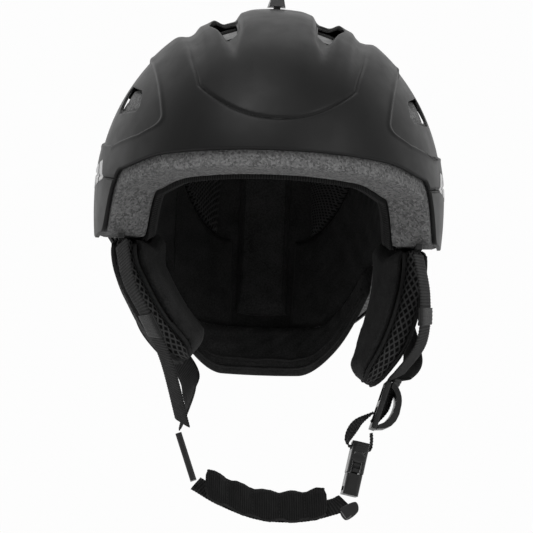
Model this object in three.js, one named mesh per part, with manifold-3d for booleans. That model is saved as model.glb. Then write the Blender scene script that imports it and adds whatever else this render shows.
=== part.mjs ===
// Ski helmet with soft ear pads, a buckled chin strap, a rear fit dial, a vent slider and a goggle clip.
// Millimetres, +Z up, the face looks along -Y and the wearer's left is +X. The origin is the middle of
// the head opening at the height of the brow edge, where a head holds the helmet.
import * as THREE from "three";
import { LoftGeometry } from "three/addons/geometries/LoftGeometry.js";
import { mergeVertices } from "three/addons/utils/BufferGeometryUtils.js";
import Module from "manifold-3d";

const wasm = await Module();
wasm.setup();

// ---------------------------------------------------------------- driving dimensions
const FORM_CENTRE_Z = -10;
const FORM_POWER = 2.05;
const OUTER_FORM = { side: 113, front: 138, rear: 143, rise: 124, drop: 165 };
const INNER_FORM = { side: 84, front: 108, rear: 110, rise: 92, drop: 165 };
const SHELL_THICKNESS = 2.5;
const SHELL_TO_FOAM_GAP = 0.8;
const FOAM_TO_PAD_GAP = 1.1;
const PAD_THICKNESS = 7;
const TOUCH_GAP = 0.35;
const WEBBING_WIDTH = 18;
const WEBBING_THICKNESS = 1.6;

const degrees = THREE.MathUtils.degToRad;
const smooth = THREE.MathUtils.smoothstep;
const vec = (x, y, z) => new THREE.Vector3(x, y, z);

// ---------------------------------------------------------------- solids
function toSolid(geometry) {
  const bare = new THREE.BufferGeometry();
  const source = geometry.index ? geometry.toNonIndexed() : geometry;
  bare.setAttribute("position", source.getAttribute("position").clone());
  const merged = mergeVertices(bare, 1e-3);
  const corners = merged.index.array;
  const kept = [];
  for (let i = 0; i < corners.length; i += 3) {
    const [a, b, c] = [corners[i], corners[i + 1], corners[i + 2]];
    if (a !== b && b !== c && c !== a) kept.push(a, b, c);
  }
  const vertProperties = new Float32Array(merged.attributes.position.array);
  const mesh = new wasm.Mesh({ numProp: 3, vertProperties, triVerts: new Uint32Array(kept) });
  const solid = new wasm.Manifold(mesh);
  if (solid.volume() > 0) return solid;
  for (let i = 0; i < kept.length; i += 3) [kept[i + 1], kept[i + 2]] = [kept[i + 2], kept[i + 1]];
  return new wasm.Manifold(new wasm.Mesh({ numProp: 3, vertProperties, triVerts: new Uint32Array(kept) }));
}

function toGeometry(solid) {
  const mesh = solid.getMesh();
  const positions = new Float32Array(mesh.numVert * 3);
  for (let i = 0; i < mesh.numVert; i++) {
    for (let k = 0; k < 3; k++) positions[3 * i + k] = mesh.vertProperties[i * mesh.numProp + k];
  }
  const geometry = new THREE.BufferGeometry();
  geometry.setAttribute("position", new THREE.BufferAttribute(positions, 3));
  geometry.setIndex(new THREE.BufferAttribute(mesh.triVerts, 1));
  geometry.computeVertexNormals();
  return geometry;
}

// A solid skinned through closed sections, with a cap at each end.
function loft(sections) {
  const [first, second] = sections;
  const middle = (ring) => {
    const sum = ring.reduce((total, point) => total.add(point), vec(0, 0, 0));
    return sum.divideScalar(ring.length);
  };
  const facing = vec(0, 0, 0);
  first.forEach((point, i) => facing.add(point.clone().cross(first[(i + 1) % first.length])));
  const along = middle(second).sub(middle(first));
  const ordered = facing.dot(along) < 0 ? sections.map((ring) => [...ring].reverse()) : sections;
  return toSolid(new LoftGeometry(ordered, { capStart: true, capEnd: true }));
}

const placed = (geometry, x, y, z) => toSolid(geometry.clone().translate(x, y, z));
const box = (w, d, h, x, y, z) => placed(new THREE.BoxGeometry(w, d, h), x, y, z);
const joined = (solids) => solids.reduce((whole, piece) => whole.add(piece));
const cutAway = (solid, cutters) => cutters.reduce((whole, cutter) => whole.subtract(cutter), solid);

// A cylinder whose axis is the row axis "x", "y" or "z".
function rod(radius, length, axis, x, y, z, sides = 24) {
  const geometry = new THREE.CylinderGeometry(radius, radius, length, sides);
  if (axis === "x") geometry.rotateZ(Math.PI / 2);
  if (axis === "z") geometry.rotateX(Math.PI / 2);
  return placed(geometry, x, y, z);
}

// A rounded rectangle, extruded along +Z and centred on its own middle.
function roundedSlab(width, height, depth, radius, segments = 4) {
  const [w, h] = [width / 2 - radius, height / 2 - radius];
  const outline = new THREE.Shape();
  outline.absarc(w, h, radius, 0, Math.PI / 2);
  outline.absarc(-w, h, radius, Math.PI / 2, Math.PI);
  outline.absarc(-w, -h, radius, Math.PI, 1.5 * Math.PI);
  outline.absarc(w, -h, radius, 1.5 * Math.PI, 2 * Math.PI);
  const options = { depth, bevelEnabled: false, curveSegments: segments };
  return new THREE.ExtrudeGeometry(outline, options).translate(0, 0, -depth / 2);
}

// ---------------------------------------------------------------- the helmet's form
// Azimuth runs from the face (-Y) towards the wearer's left (+X), polar angle down from the crown.
function direction(azimuth, polar) {
  const level = Math.sin(polar);
  return vec(level * Math.sin(azimuth), -level * Math.cos(azimuth), Math.cos(polar));
}

function formRadius(form, d) {
  const along = d.y < 0 ? form.front : form.rear;
  const up = d.z > 0 ? form.rise : form.drop;
  const sum = Math.abs(d.x / form.side) ** FORM_POWER
    + Math.abs(d.y / along) ** FORM_POWER
    + Math.abs(d.z / up) ** FORM_POWER;
  return sum ** (-1 / FORM_POWER);
}

// Ribs run from front to back over the crown: [distance from the middle, height] of each crest and floor.
const RIB_PROFILE = [
  [0, 1.2], [18, 1.2], [25, -3.4], [39, -3.4], [45, -0.6],
  [50, -0.6], [57, -3.2], [65, 1], [79, 1], [83, -0.8],
];
const RIB_NARROWING = 0.16;
const RIB_REACH = 110;
const FRONT_ARC = { middleZ: 19.5, endZ: 42, endX: 47 };

function ribHeight(sideways) {
  for (let i = 1; i < RIB_PROFILE.length; i++) {
    const [x0, h0] = RIB_PROFILE[i - 1];
    const [x1, h1] = RIB_PROFILE[i];
    if (sideways <= x1) return h0 + (h1 - h0) * smooth(sideways, x0, x1);
  }
  return RIB_PROFILE.at(-1)[1];
}

function relief(point) {
  const reach = Math.min(1, Math.abs(point.y) / RIB_REACH);
  const sideways = Math.abs(point.x) / (1 - RIB_NARROWING * reach ** 2);
  const arcShare = (Math.abs(point.x) / FRONT_ARC.endX) ** 2.2;
  const arcZ = FRONT_ARC.middleZ + (FRONT_ARC.endZ - FRONT_ARC.middleZ) * arcShare;
  const fade = point.y < 0 ? smooth(point.z, arcZ, arcZ + 48) : smooth(point.z, -10, 45);
  return ribHeight(sideways) * fade;
}

function outerPoint(azimuth, polar, inset) {
  const d = direction(azimuth, polar);
  const radius = formRadius(OUTER_FORM, d);
  const onForm = vec(0, 0, FORM_CENTRE_Z).addScaledVector(d, radius);
  return vec(0, 0, FORM_CENTRE_Z).addScaledVector(d, radius + relief(onForm) - inset);
}

function innerPoint(azimuth, polar, inset) {
  const d = direction(azimuth, polar);
  return vec(0, 0, FORM_CENTRE_Z).addScaledVector(d, formRadius(INNER_FORM, d) - inset);
}

// The polar angle at which a surface comes down to height z.
function polarAtHeight(surface, azimuth, inset, z) {
  let [low, high] = [0.2, 2.6];
  for (let i = 0; i < 30; i++) {
    const middle = (low + high) / 2;
    if (surface(azimuth, middle, inset).z > z) low = middle;
    else high = middle;
  }
  return (low + high) / 2;
}

// The shell's lower edge: level at the brow, down at the temples, up over the ears and down to the nape.
function rimHeight(azimuth) {
  const turn = Math.abs(THREE.MathUtils.radToDeg(Math.atan2(Math.sin(azimuth), Math.cos(azimuth))));
  const temple = -4 * smooth(turn, 30, 50) - 35 * smooth(turn, 50, 66);
  const ear = 13 * smooth(turn, 78, 100);
  const nape = -58 * smooth(turn, 108, 162);
  return temple + ear + nape;
}

// The foam shows below the shell at the brow and is flush with it behind the temples.
function foamRimHeight(azimuth) {
  const turn = Math.abs(THREE.MathUtils.radToDeg(Math.atan2(Math.sin(azimuth), Math.cos(azimuth))));
  return rimHeight(azimuth) - 10 + 11 * smooth(turn, 52, 70);
}

// A dome between two surfaces, closed by a flat edge round its rim.
function dome(outer, inner, slices, stacks) {
  const sections = [];
  for (let i = 0; i <= slices; i++) {
    const azimuth = (2 * Math.PI * (i % slices)) / slices;
    const outerEnd = polarAtHeight(outer.surface, azimuth, outer.inset, outer.rim(azimuth));
    const innerEnd = polarAtHeight(inner.surface, azimuth, inner.inset, inner.rim(azimuth));
    const ring = [];
    for (let k = 0; k <= stacks; k++) ring.push(outer.surface(azimuth, (outerEnd * k) / stacks, outer.inset));
    for (let k = stacks; k >= 0; k--) ring.push(inner.surface(azimuth, (innerEnd * k) / stacks, inner.inset));
    sections.push(ring);
  }
  return toSolid(new LoftGeometry(sections));
}

// A curved panel between two insets of the inner form. top(azimuth) and bottom(azimuth) are polar angles.
function panel(insets, turns, top, bottom, slices, stacks) {
  const sections = [];
  for (let i = 0; i <= slices; i++) {
    const azimuth = degrees(turns[0] + ((turns[1] - turns[0]) * i) / slices);
    const [high, low] = [top(azimuth), bottom(azimuth)];
    const at = (k, inset) => innerPoint(azimuth, high + ((low - high) * k) / stacks, inset);
    const ring = [];
    for (let k = 0; k <= stacks; k++) ring.push(at(k, insets[0]));
    for (let k = stacks; k >= 0; k--) ring.push(at(k, insets[1]));
    sections.push(ring);
  }
  return loft(sections);
}

const atHeight = (height) => (azimuth) => (
  polarAtHeight(innerPoint, azimuth, FOAM_TO_PAD_GAP, height(azimuth))
);

// A prism of a flat outline with clipped corners, seen from the top, from the wearer's left or from behind.
const VIEWS = {
  top: [vec(1, 0, 0), vec(0, 1, 0), vec(0, 0, 1)],
  side: [vec(0, 1, 0), vec(0, 0, 1), vec(1, 0, 0)],
  rear: [vec(-1, 0, 0), vec(0, 0, 1), vec(0, 1, 0)],
};

function prism(corners, view, from, to, clip = 0) {
  const points = [];
  corners.forEach(([x, y], i) => {
    const here = new THREE.Vector2(x, y);
    if (clip === 0) {
      points.push(here);
      return;
    }
    for (const [nx, ny] of [corners.at(i - 1), corners[(i + 1) % corners.length]]) {
      const next = new THREE.Vector2(nx, ny);
      points.push(here.clone().add(next.sub(here).setLength(clip)));
    }
  });
  const options = { depth: to - from, bevelEnabled: false };
  const geometry = new THREE.ExtrudeGeometry(new THREE.Shape(points), options);
  geometry.translate(0, 0, from);
  geometry.applyMatrix4(new THREE.Matrix4().makeBasis(...VIEWS[view]));
  return toSolid(geometry);
}

const mirrored = (corners) => corners.map(([x, y]) => [-x, y]);

// A flat strap along a smooth curve. wide(t) gives the direction of its width, which is squared to the curve.
function ribbon(points, wide, width, thickness, steps, from = 0, to = 1) {
  const curve = new THREE.CatmullRomCurve3(points);
  const sections = [];
  for (let i = 0; i <= steps; i++) {
    const t = from + ((to - from) * i) / steps;
    const centre = curve.getPointAt(t);
    const tangent = curve.getTangentAt(t);
    const across = wide(t).clone().addScaledVector(tangent, -wide(t).dot(tangent)).setLength(width / 2);
    const off = tangent.clone().cross(across).setLength(thickness / 2);
    sections.push([[1, 1], [-1, 1], [-1, -1], [1, -1]].map(([a, b]) => (
      centre.clone().addScaledVector(across, a).addScaledVector(off, b)
    )));
  }
  return loft(sections);
}

// ---------------------------------------------------------------- materials and parts
const helmet = new THREE.Group();

function finish(color, roughness, metalness = 0) {
  return new THREE.MeshStandardMaterial({ color, roughness, metalness });
}

const SHELL_FINISH = finish("#161616", 0.55);
const FOAM_FINISH = finish("#4a4a4a", 0.9);
const FLEECE_FINISH = finish("#0d0d0d", 1);
const MESH_FINISH = finish("#181818", 0.95);
const WEBBING_FINISH = finish("#141414", 0.85);
const PLASTIC_FINISH = finish("#101010", 0.4);
const GREY_PLASTIC_FINISH = finish("#7d7d7d", 0.45);
const METAL_FINISH = finish("#8a8a8a", 0.35, 0.9);

function addPart(name, solid, material, parent = helmet) {
  const mesh = new THREE.Mesh(toGeometry(solid), material);
  mesh.name = name;
  parent.add(mesh);
}

const SIDES = [["left", 1], ["right", -1]];

// ---------------------------------------------------------------- shell, foam liner and vents
// Plan outlines of the crown vents on the wearer's left, from front to back.
const FRONT_VENT = [[24.5, -80], [31.5, -92], [38, -75], [43, -58], [41, -47], [26, -49]];
const MIDDLE_VENT = [[25, -14], [38, -16], [39, 26], [26, 22]];
const BACK_VENT = [[25, 46], [38, 44], [35, 84], [25, 80]];
// Side outlines (distance back, height) and rear outlines (distance sideways, height) of the other vents.
const SIDE_VENTS = [[[-80, 33], [-73, 46], [-41, 56], [-46, 38]], [[-14, 42], [-8, 57], [29, 61], [25, 45]]];
const REAR_VENTS = [[[13, 22], [36, 26], [33, 42], [14, 38]], [[12, -8], [32, -4], [33, 11], [13, 7]]];
const VENT_CLIP = 3;
const SIDE_VENT_REACH = [40, 130];

// The front vents' channels through the foam are crossed by bars that the shutter closes against.
const WINDOW_ROWS = [-86, -62];
const WINDOW_LENGTH = 11;
const WINDOW_SIDES = [24.5, 35.5];

function windowPrisms(shift, from, to) {
  const prisms = [];
  for (const [, side] of SIDES) {
    for (const row of WINDOW_ROWS) {
      const [near, far] = WINDOW_SIDES;
      const [front, back] = [row + shift, row + WINDOW_LENGTH + shift];
      const corners = [[near, front], [far, front], [far, back], [near, back]];
      prisms.push(prism(side > 0 ? corners : mirrored(corners), "top", from, to));
    }
  }
  return prisms;
}

const frontVents = SIDES.map(([, side]) => (
  prism(side > 0 ? FRONT_VENT : mirrored(FRONT_VENT), "top", 20, 140, VENT_CLIP)
));
const otherVents = [];
for (const [, side] of SIDES) {
  for (const vent of [MIDDLE_VENT, BACK_VENT]) {
    otherVents.push(prism(side > 0 ? vent : mirrored(vent), "top", 40, 140, VENT_CLIP));
  }
  for (const vent of SIDE_VENTS) {
    const [near, far] = SIDE_VENT_REACH;
    otherVents.push(prism(vent, "side", side > 0 ? near : -far, side > 0 ? far : -near, VENT_CLIP));
  }
  for (const vent of REAR_VENTS) {
    otherVents.push(prism(side > 0 ? vent : mirrored(vent), "rear", 70, 150, VENT_CLIP));
  }
}

// The vent slider turns about a level axis deep inside the helmet, so its parts are surfaces round that axis.
const SLIDER_AXIS_Z = -39;
const SLIDER_RADIUS = 153;
const SHUTTER_DEPTH = 7.7;
const SHUTTER_THICKNESS = 1.4;
const POCKET_DEPTH = 10.4;
const SHUTTER_HALF_WIDTH = 42;
const SHUTTER_ANGLES = [-40, -18.5];
const SPINE_ANGLES = [-20, -10];
const SPINE_HALF_WIDTH = 9;
const POCKET_ANGLES = [-42.5, -3];

function crownDrop(x) {
  const { side, rise } = OUTER_FORM;
  return 1.05 * rise * (1 - (1 - Math.abs(x / side) ** FORM_POWER) ** (1 / FORM_POWER));
}

// A sheet round the slider's axis, between two depths below the crown's form.
function crownSheet(halfWidth, angles, depths, columns, rows) {
  const sections = [];
  for (let i = 0; i <= columns; i++) {
    const x = halfWidth * ((2 * i) / columns - 1);
    const ring = [];
    depths.forEach((depth, side) => {
      for (let k = 0; k <= rows; k++) {
        const share = side === 0 ? k / rows : 1 - k / rows;
        const angle = degrees(angles[0] + (angles[1] - angles[0]) * share);
        const radius = SLIDER_RADIUS - crownDrop(x) - depth;
        ring.push(vec(x, radius * Math.sin(angle), SLIDER_AXIS_Z + radius * Math.cos(angle)));
      }
    });
    sections.push(ring);
  }
  return loft(sections);
}

const FOAM_RELIEF_DEPTH = 3.6;

function foamPoint(azimuth, polar) {
  const d = direction(azimuth, polar);
  const radius = formRadius(OUTER_FORM, d);
  const height = FORM_CENTRE_Z + d.z * radius;
  const inset = SHELL_THICKNESS + SHELL_TO_FOAM_GAP + FOAM_RELIEF_DEPTH * smooth(height, -15, 35);
  return vec(0, 0, FORM_CENTRE_Z).addScaledVector(d, radius - inset);
}

const KNOB_SLOT = [[-3, -41], [3, -41], [3, -14], [-3, -14]];
const shellOuter = { surface: outerPoint, inset: 0, rim: rimHeight };
const shellInner = { surface: outerPoint, inset: SHELL_THICKNESS, rim: rimHeight };
const wholeShell = cutAway(dome(shellOuter, shellInner, 56, 16), [
  ...frontVents, ...otherVents, prism(KNOB_SLOT, "top", 90, 130, 1.5),
]);

// The lower side of the shell is a separate moulding that meets it along a line from the temple to the ear.
const coverOutline = (gap) => [
  [-76, -10 - gap], [0, 7 - gap], [40, 10 - gap], [46 - gap, 4], [46 - gap, -70], [-100, -70],
];
const shellCutters = [prism(coverOutline(0), "side", 60, 130), prism(coverOutline(0), "side", -130, -60)];
addPart("outer_shell", cutAway(wholeShell, shellCutters), SHELL_FINISH);
for (const [name, side] of SIDES) {
  const reach = side > 0 ? [60, 130] : [-130, -60];
  const cover = wholeShell.intersect(prism(coverOutline(TOUCH_GAP), "side", ...reach));
  addPart(`cheek_cover_${name}`, cover, SHELL_FINISH);
}

const foamOuter = { surface: foamPoint, inset: 0, rim: foamRimHeight };
const foamInner = { surface: innerPoint, inset: 0, rim: foamRimHeight };
const foamCutters = [
  ...otherVents, ...windowPrisms(0, 20, 140),
  crownSheet(SHUTTER_HALF_WIDTH + 3, POCKET_ANGLES, [-10, POCKET_DEPTH], 10, 8),
];
addPart("foam_liner", cutAway(dome(foamOuter, foamInner, 44, 11), foamCutters), FOAM_FINISH);

// ---------------------------------------------------------------- vent slider
const SHUTTER_DEPTHS = [SHUTTER_DEPTH, SHUTTER_DEPTH + SHUTTER_THICKNESS];
const shutter = crownSheet(SHUTTER_HALF_WIDTH, SHUTTER_ANGLES, SHUTTER_DEPTHS, 10, 6)
  .add(crownSheet(SPINE_HALF_WIDTH, SPINE_ANGLES, SHUTTER_DEPTHS, 2, 3));
addPart("vent_shutter", cutAway(shutter, windowPrisms(0, 40, 140)), PLASTIC_FINISH);

const KNOB_ANGLE = -12.4;
const KNOB = { foot: SLIDER_RADIUS - SHUTTER_DEPTH + TOUCH_GAP, under: 156, frontTop: 161.5, rearTop: 160.5 };
const KNOB_BASE = { frontHalf: 5, rearHalf: 6, reach: 13 };
const KNOB_CREST = { frontHalf: 4, rearHalf: 4.6, frontReach: 10, rearReach: 11 };
const footTop = KNOB.under + 1;
const knob = joined([
  placed(roundedSlab(4.4, 9, footTop - KNOB.foot, 1), 0, 0, (KNOB.foot + footTop) / 2),
  loft([
    [
      vec(-KNOB_BASE.frontHalf, -KNOB_BASE.reach, KNOB.under),
      vec(KNOB_BASE.frontHalf, -KNOB_BASE.reach, KNOB.under),
      vec(KNOB_BASE.rearHalf, KNOB_BASE.reach, KNOB.under),
      vec(-KNOB_BASE.rearHalf, KNOB_BASE.reach, KNOB.under),
    ],
    [
      vec(-KNOB_CREST.frontHalf, -KNOB_CREST.frontReach, KNOB.frontTop),
      vec(KNOB_CREST.frontHalf, -KNOB_CREST.frontReach, KNOB.frontTop),
      vec(KNOB_CREST.rearHalf, KNOB_CREST.rearReach, KNOB.rearTop),
      vec(-KNOB_CREST.rearHalf, KNOB_CREST.rearReach, KNOB.rearTop),
    ],
  ]),
]);
const knobGroup = new THREE.Group();
knobGroup.position.z = SLIDER_AXIS_Z;
knobGroup.rotation.x = -degrees(KNOB_ANGLE);
addPart("slider_knob", knob, PLASTIC_FINISH, knobGroup);
helmet.add(knobGroup);

// ---------------------------------------------------------------- comfort liner
const PAD_INSETS = [FOAM_TO_PAD_GAP, FOAM_TO_PAD_GAP + PAD_THICKNESS];
const STRIP_HALF_WIDTH = 18;
const CROWN_PADS_LOW = 28;
const STRIP_GAP = 2.2;

// The brow pad stands a little proud of the foam's lower edge.
const browLow = atHeight((azimuth) => foamRimHeight(azimuth) - 2);
const browHigh = atHeight((azimuth) => foamRimHeight(azimuth) + 26);
addPart("brow_pad", panel(PAD_INSETS, [-69, 69], browHigh, browLow, 16, 3), FLEECE_FINISH);

// The strip over the crown keeps one width from the brow pad to the nape.
function crownStrip(from, to, steps) {
  const sections = [];
  for (let i = 0; i <= steps; i++) {
    const angle = degrees(from + ((to - from) * i) / steps);
    const middle = vec(0, Math.sin(angle), Math.cos(angle));
    const ring = [];
    PAD_INSETS.forEach((inset, layer) => {
      for (const step of layer === 0 ? [-1, 0, 1] : [1, 0, -1]) {
        const reach = formRadius(INNER_FORM, middle);
        const d = middle.clone().add(vec((step * STRIP_HALF_WIDTH) / reach, 0, 0)).normalize();
        ring.push(vec(0, 0, FORM_CENTRE_Z).addScaledVector(d, formRadius(INNER_FORM, d) - inset));
      }
    });
    sections.push(ring);
  }
  return loft(sections);
}
addPart("crown_strip", crownStrip(-71, 121, 18), FLEECE_FINISH);

// The crown mesh pads fill the space beside the strip and narrow to a point at the back.
const crownLow = (azimuth) => CROWN_PADS_LOW - 44 * smooth(Math.abs(azimuth), degrees(130), degrees(166));
function besideStrip(azimuth) {
  const reach = formRadius(INNER_FORM, direction(azimuth, 0.9));
  return Math.asin(Math.min(0.99, (STRIP_HALF_WIDTH + STRIP_GAP) / (reach * Math.abs(Math.sin(azimuth)))));
}
const linerLow = (azimuth) => Math.max(rimHeight(azimuth), -79);
for (const [name, side] of SIDES) {
  const crownTurns = side > 0 ? [24, 162] : [-162, -24];
  const sideTurns = side > 0 ? [71, 168] : [-168, -71];
  const crownMesh = panel(PAD_INSETS, crownTurns, besideStrip, atHeight(crownLow), 12, 4);
  addPart(`crown_mesh_${name}`, crownMesh, MESH_FINISH);
  const sideTop = atHeight((azimuth) => crownLow(azimuth) - STRIP_GAP);
  const sideLiner = panel(PAD_INSETS, sideTurns, sideTop, atHeight(linerLow), 12, 3);
  addPart(`side_liner_${name}`, sideLiner, FLEECE_FINISH);
}

const ROLL_INSETS = [FOAM_TO_PAD_GAP, 10];
const ROLL_HEIGHT = 20;
const rollHigh = atHeight((azimuth) => linerLow(azimuth) - STRIP_GAP);
const rollLow = atHeight((azimuth) => rimHeight(azimuth) - ROLL_HEIGHT);
addPart("neck_roll", panel(ROLL_INSETS, [124, 236], rollHigh, rollLow, 16, 3), FLEECE_FINISH);

// ---------------------------------------------------------------- ear pads
// Everything soft hangs clear of this dome, which holds the shell, the foam and the comfort liner.
const lowerRim = (drop) => (azimuth) => Math.min(rimHeight(azimuth), foamRimHeight(azimuth)) - drop;
const clearOf = dome(
  { surface: outerPoint, inset: -1.5, rim: lowerRim(1.5) },
  { surface: innerPoint, inset: ROLL_INSETS[1] + 0.5, rim: lowerRim(3) },
  48, 8,
);

// The pads' middle lines from the ear down to the tip. The right pad leans further in than the left one.
const EAR_LINES = {
  left: [vec(88, 2, -14), vec(91, 2, -50), vec(87, 1, -78), vec(79, -1, -102), vec(66, -4, -124)],
  right: [vec(-88, 2, -14), vec(-89, 2, -50), vec(-80, 1, -72), vec(-66, -1, -94), vec(-48, -4, -112)],
};
const EAR_WIDTHS = [66, 74, 76, 74, 64, 34];
const EAR_FLEECE_THICKNESS = 13;
const EAR_MESH_THICKNESS = 9;

// One layer of an ear pad: a tongue that keeps the line's bend and narrows to a round tip. layer is 1 on the
// head's side of the line and -1 on the outer side.
function earLayer(line, side, layer, thickness, steps) {
  const curve = new THREE.CatmullRomCurve3(line);
  const widths = new THREE.SplineCurve(EAR_WIDTHS.map((width, i) => new THREE.Vector2(i, width)));
  const sections = [];
  for (let i = 0; i <= steps; i++) {
    const t = i / steps;
    const centre = curve.getPointAt(t);
    const inward = vec(0, 1, 0).cross(curve.getTangentAt(t)).multiplyScalar(side).normalize();
    const half = widths.getPoint(t).y / 2;
    const thin = (thickness / 2) * (1 - 0.5 * smooth(t, 0.7, 1));
    const offset = layer * (thin + TOUCH_GAP / 2);
    const edge = thin * 0.45;
    const outline = [
      [thin, half - 5], [edge, half], [-edge, half], [-thin, half - 5],
      [-thin, 5 - half], [-edge, -half], [edge, -half], [thin, 5 - half],
    ];
    sections.push(outline.map(([depth, y]) => (
      centre.clone().addScaledVector(inward, offset + depth).add(vec(0, y, 0))
    )));
  }
  return loft(sections);
}

// ---------------------------------------------------------------- straps
const FRONT_STRAP_LINES = {
  left: [vec(93, -50, -46), vec(98, -50, -72), vec(97, -44, -100), vec(84, -22, -120.5)],
  right: [
    vec(-92, -50, -46), vec(-83, -54, -70), vec(-70, -52, -92), vec(-59, -40, -118), vec(-50, -16, -154),
  ],
};
const REAR_STRAP_LINES = {
  left: [vec(88, 53, -49), vec(96, 46, -78), vec(98, 24, -106), vec(88, 2, -120.5)],
  right: [
    vec(-85, 53, -49), vec(-76, 48, -84), vec(-50, 28, -116), vec(-46, 10, -134), vec(-50, -6, -153),
  ],
};
const FRONT_STRAP_WIDE = vec(0.45, 0.9, 0.1);
const REAR_STRAP_WIDE = { left: vec(-0.3, 0.9, 0.3), right: vec(-0.9, 0.35, 0.1) };
const LOOP_SPAN = [0.3, 0.55];

for (const [name, side] of SIDES) {
  const line = EAR_LINES[name];
  const fleece = earLayer(line, side, 1, EAR_FLEECE_THICKNESS, 9);
  const mesh = earLayer(line, side, -1, EAR_MESH_THICKNESS, 9);
  addPart(`ear_pad_${name}`, fleece.subtract(clearOf), FLEECE_FINISH);
  addPart(`ear_pad_back_${name}`, mesh.subtract(clearOf), MESH_FINISH);

  const frontWide = () => FRONT_STRAP_WIDE.clone().multiply(vec(side, 1, 1));
  const rearWide = () => REAR_STRAP_WIDE[name];
  const frontLine = FRONT_STRAP_LINES[name];
  const frontStrap = ribbon(frontLine, frontWide, WEBBING_WIDTH, WEBBING_THICKNESS, 9);
  const rearStrap = ribbon(REAR_STRAP_LINES[name], rearWide, WEBBING_WIDTH, WEBBING_THICKNESS, 9);
  addPart(`front_strap_${name}`, frontStrap, WEBBING_FINISH);
  addPart(`rear_strap_${name}`, rearStrap, WEBBING_FINISH);
  const [loopTop, loopEnd] = LOOP_SPAN;
  const past = 0.06;
  const [widthOutside, gapOutside] = [WEBBING_WIDTH + 4.4, WEBBING_THICKNESS + 4];
  const sleeve = ribbon(frontLine, frontWide, widthOutside, gapOutside, 4, loopTop, loopEnd);
  const [widthInside, gapInside] = [WEBBING_WIDTH + 1, WEBBING_THICKNESS + 1];
  const passage = ribbon(frontLine, frontWide, widthInside, gapInside, 6, loopTop - past, loopEnd + past);
  addPart(`strap_loop_${name}`, sleeve.subtract(passage), WEBBING_FINISH);
}

// ---------------------------------------------------------------- strap anchors, dividers and buckle
const ANCHOR_SIZE = [4, 14, 3.6];
for (const [name, lines] of [["front", FRONT_STRAP_LINES], ["rear", REAR_STRAP_LINES]]) {
  for (const [sideName] of SIDES) {
    const top = lines[sideName][0];
    const anchor = box(...ANCHOR_SIZE, top.x, top.y, top.z + 4.2);
    addPart(`strap_anchor_${name}_${sideName}`, anchor, PLASTIC_FINISH);
  }
}

// A flat ring that straps thread through: bars at both ends and, where it has two windows, one in the middle.
function ladder(width, height, thickness, windows) {
  const plate = placed(roundedSlab(thickness, width, height, thickness * 0.3, 2), 0, 0, 0);
  const window = ([low, high]) => box(thickness * 3, width - 5, high - low, 0, 0, (low + high) / 2);
  const cuts = windows.map(window);
  return cutAway(plate, cuts);
}

function placedGroup(position, tilt) {
  const group = new THREE.Group();
  group.position.copy(position);
  group.rotation.y = degrees(tilt);
  helmet.add(group);
  return group;
}

const LEFT_DIVIDER = placedGroup(vec(75.2, -10, -138.5), 17);
addPart("divider_left", ladder(24, 31, 3.6, [[3, 12], [-11, -1]]), PLASTIC_FINISH, LEFT_DIVIDER);

// The left divider's outer face carries an arched cover that the straps run under.
const arch = new THREE.Shape();
arch.moveTo(2.3, -15);
arch.quadraticCurveTo(15, -12, 12, 4);
arch.quadraticCurveTo(11, 11, 5, 15.4);
arch.lineTo(2.3, 15.4);
arch.lineTo(2.3, 12.6);
arch.quadraticCurveTo(8, 10, 8.6, 3);
arch.quadraticCurveTo(9, -8, 2.3, -12);
const archGeometry = new THREE.ExtrudeGeometry(arch, { depth: 22, bevelEnabled: false, curveSegments: 5 });
archGeometry.translate(0, 0, -11).rotateX(Math.PI / 2);
addPart("divider_cover_left", toSolid(archGeometry), PLASTIC_FINISH, LEFT_DIVIDER);

// The chin strap swings about this line, which stands in for the bend in the webbing above the right divider.
const CHIN_PIVOT = vec(-50, -10, -156.6);
const RIGHT_DIVIDER = placedGroup(vec(-47, -10, -175.2), -20);
addPart("divider_right", ladder(24, 31, 4, [[3, 12], [-11, -1]]), PLASTIC_FINISH, RIGHT_DIVIDER);

const BUCKLE = placedGroup(vec(60, -10, -180), 11);
const SOCKET = { thickness: 10.5, width: 27, low: -2, high: 18 };
const CAVITY = { half: 3.5, low: -3, high: 11.5 };
const socketSlab = roundedSlab(SOCKET.thickness, SOCKET.width, SOCKET.high - SOCKET.low, 2.5, 3);
addPart("buckle_socket", cutAway(placed(socketSlab, 0, 0, (SOCKET.high + SOCKET.low) / 2), [
  box(2 * CAVITY.half, 40, CAVITY.high - CAVITY.low, 0, 0, (CAVITY.high + CAVITY.low) / 2),
  box(20, 19, 3.2, 0, 0, 14.4),
]), PLASTIC_FINISH, BUCKLE);

const plugBase = placed(roundedSlab(10, 26, 13.6, 2.5, 3), 0, 0, -9.2);
addPart("buckle_plug", joined([
  cutAway(plugBase, [box(20, 19, 2.8, 0, 0, -12.4)]),
  box(4.6, 5, 12, 0, 0, 2.6),
]), PLASTIC_FINISH, BUCKLE);
for (const [name, side] of [["front", -1], ["rear", 1]]) {
  const outline = [[5, -1.6], [10.6, -1.6], [10.8, 1], [12.4, 3], [12.4, 4.4], [9, 10], [7, 10], [7, 3]];
  const arm = prism(outline.map(([y, z]) => [side * y, z]), "side", -2.4, 2.4);
  addPart(`buckle_arm_${name}`, arm, PLASTIC_FINISH, BUCKLE);
}

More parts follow.
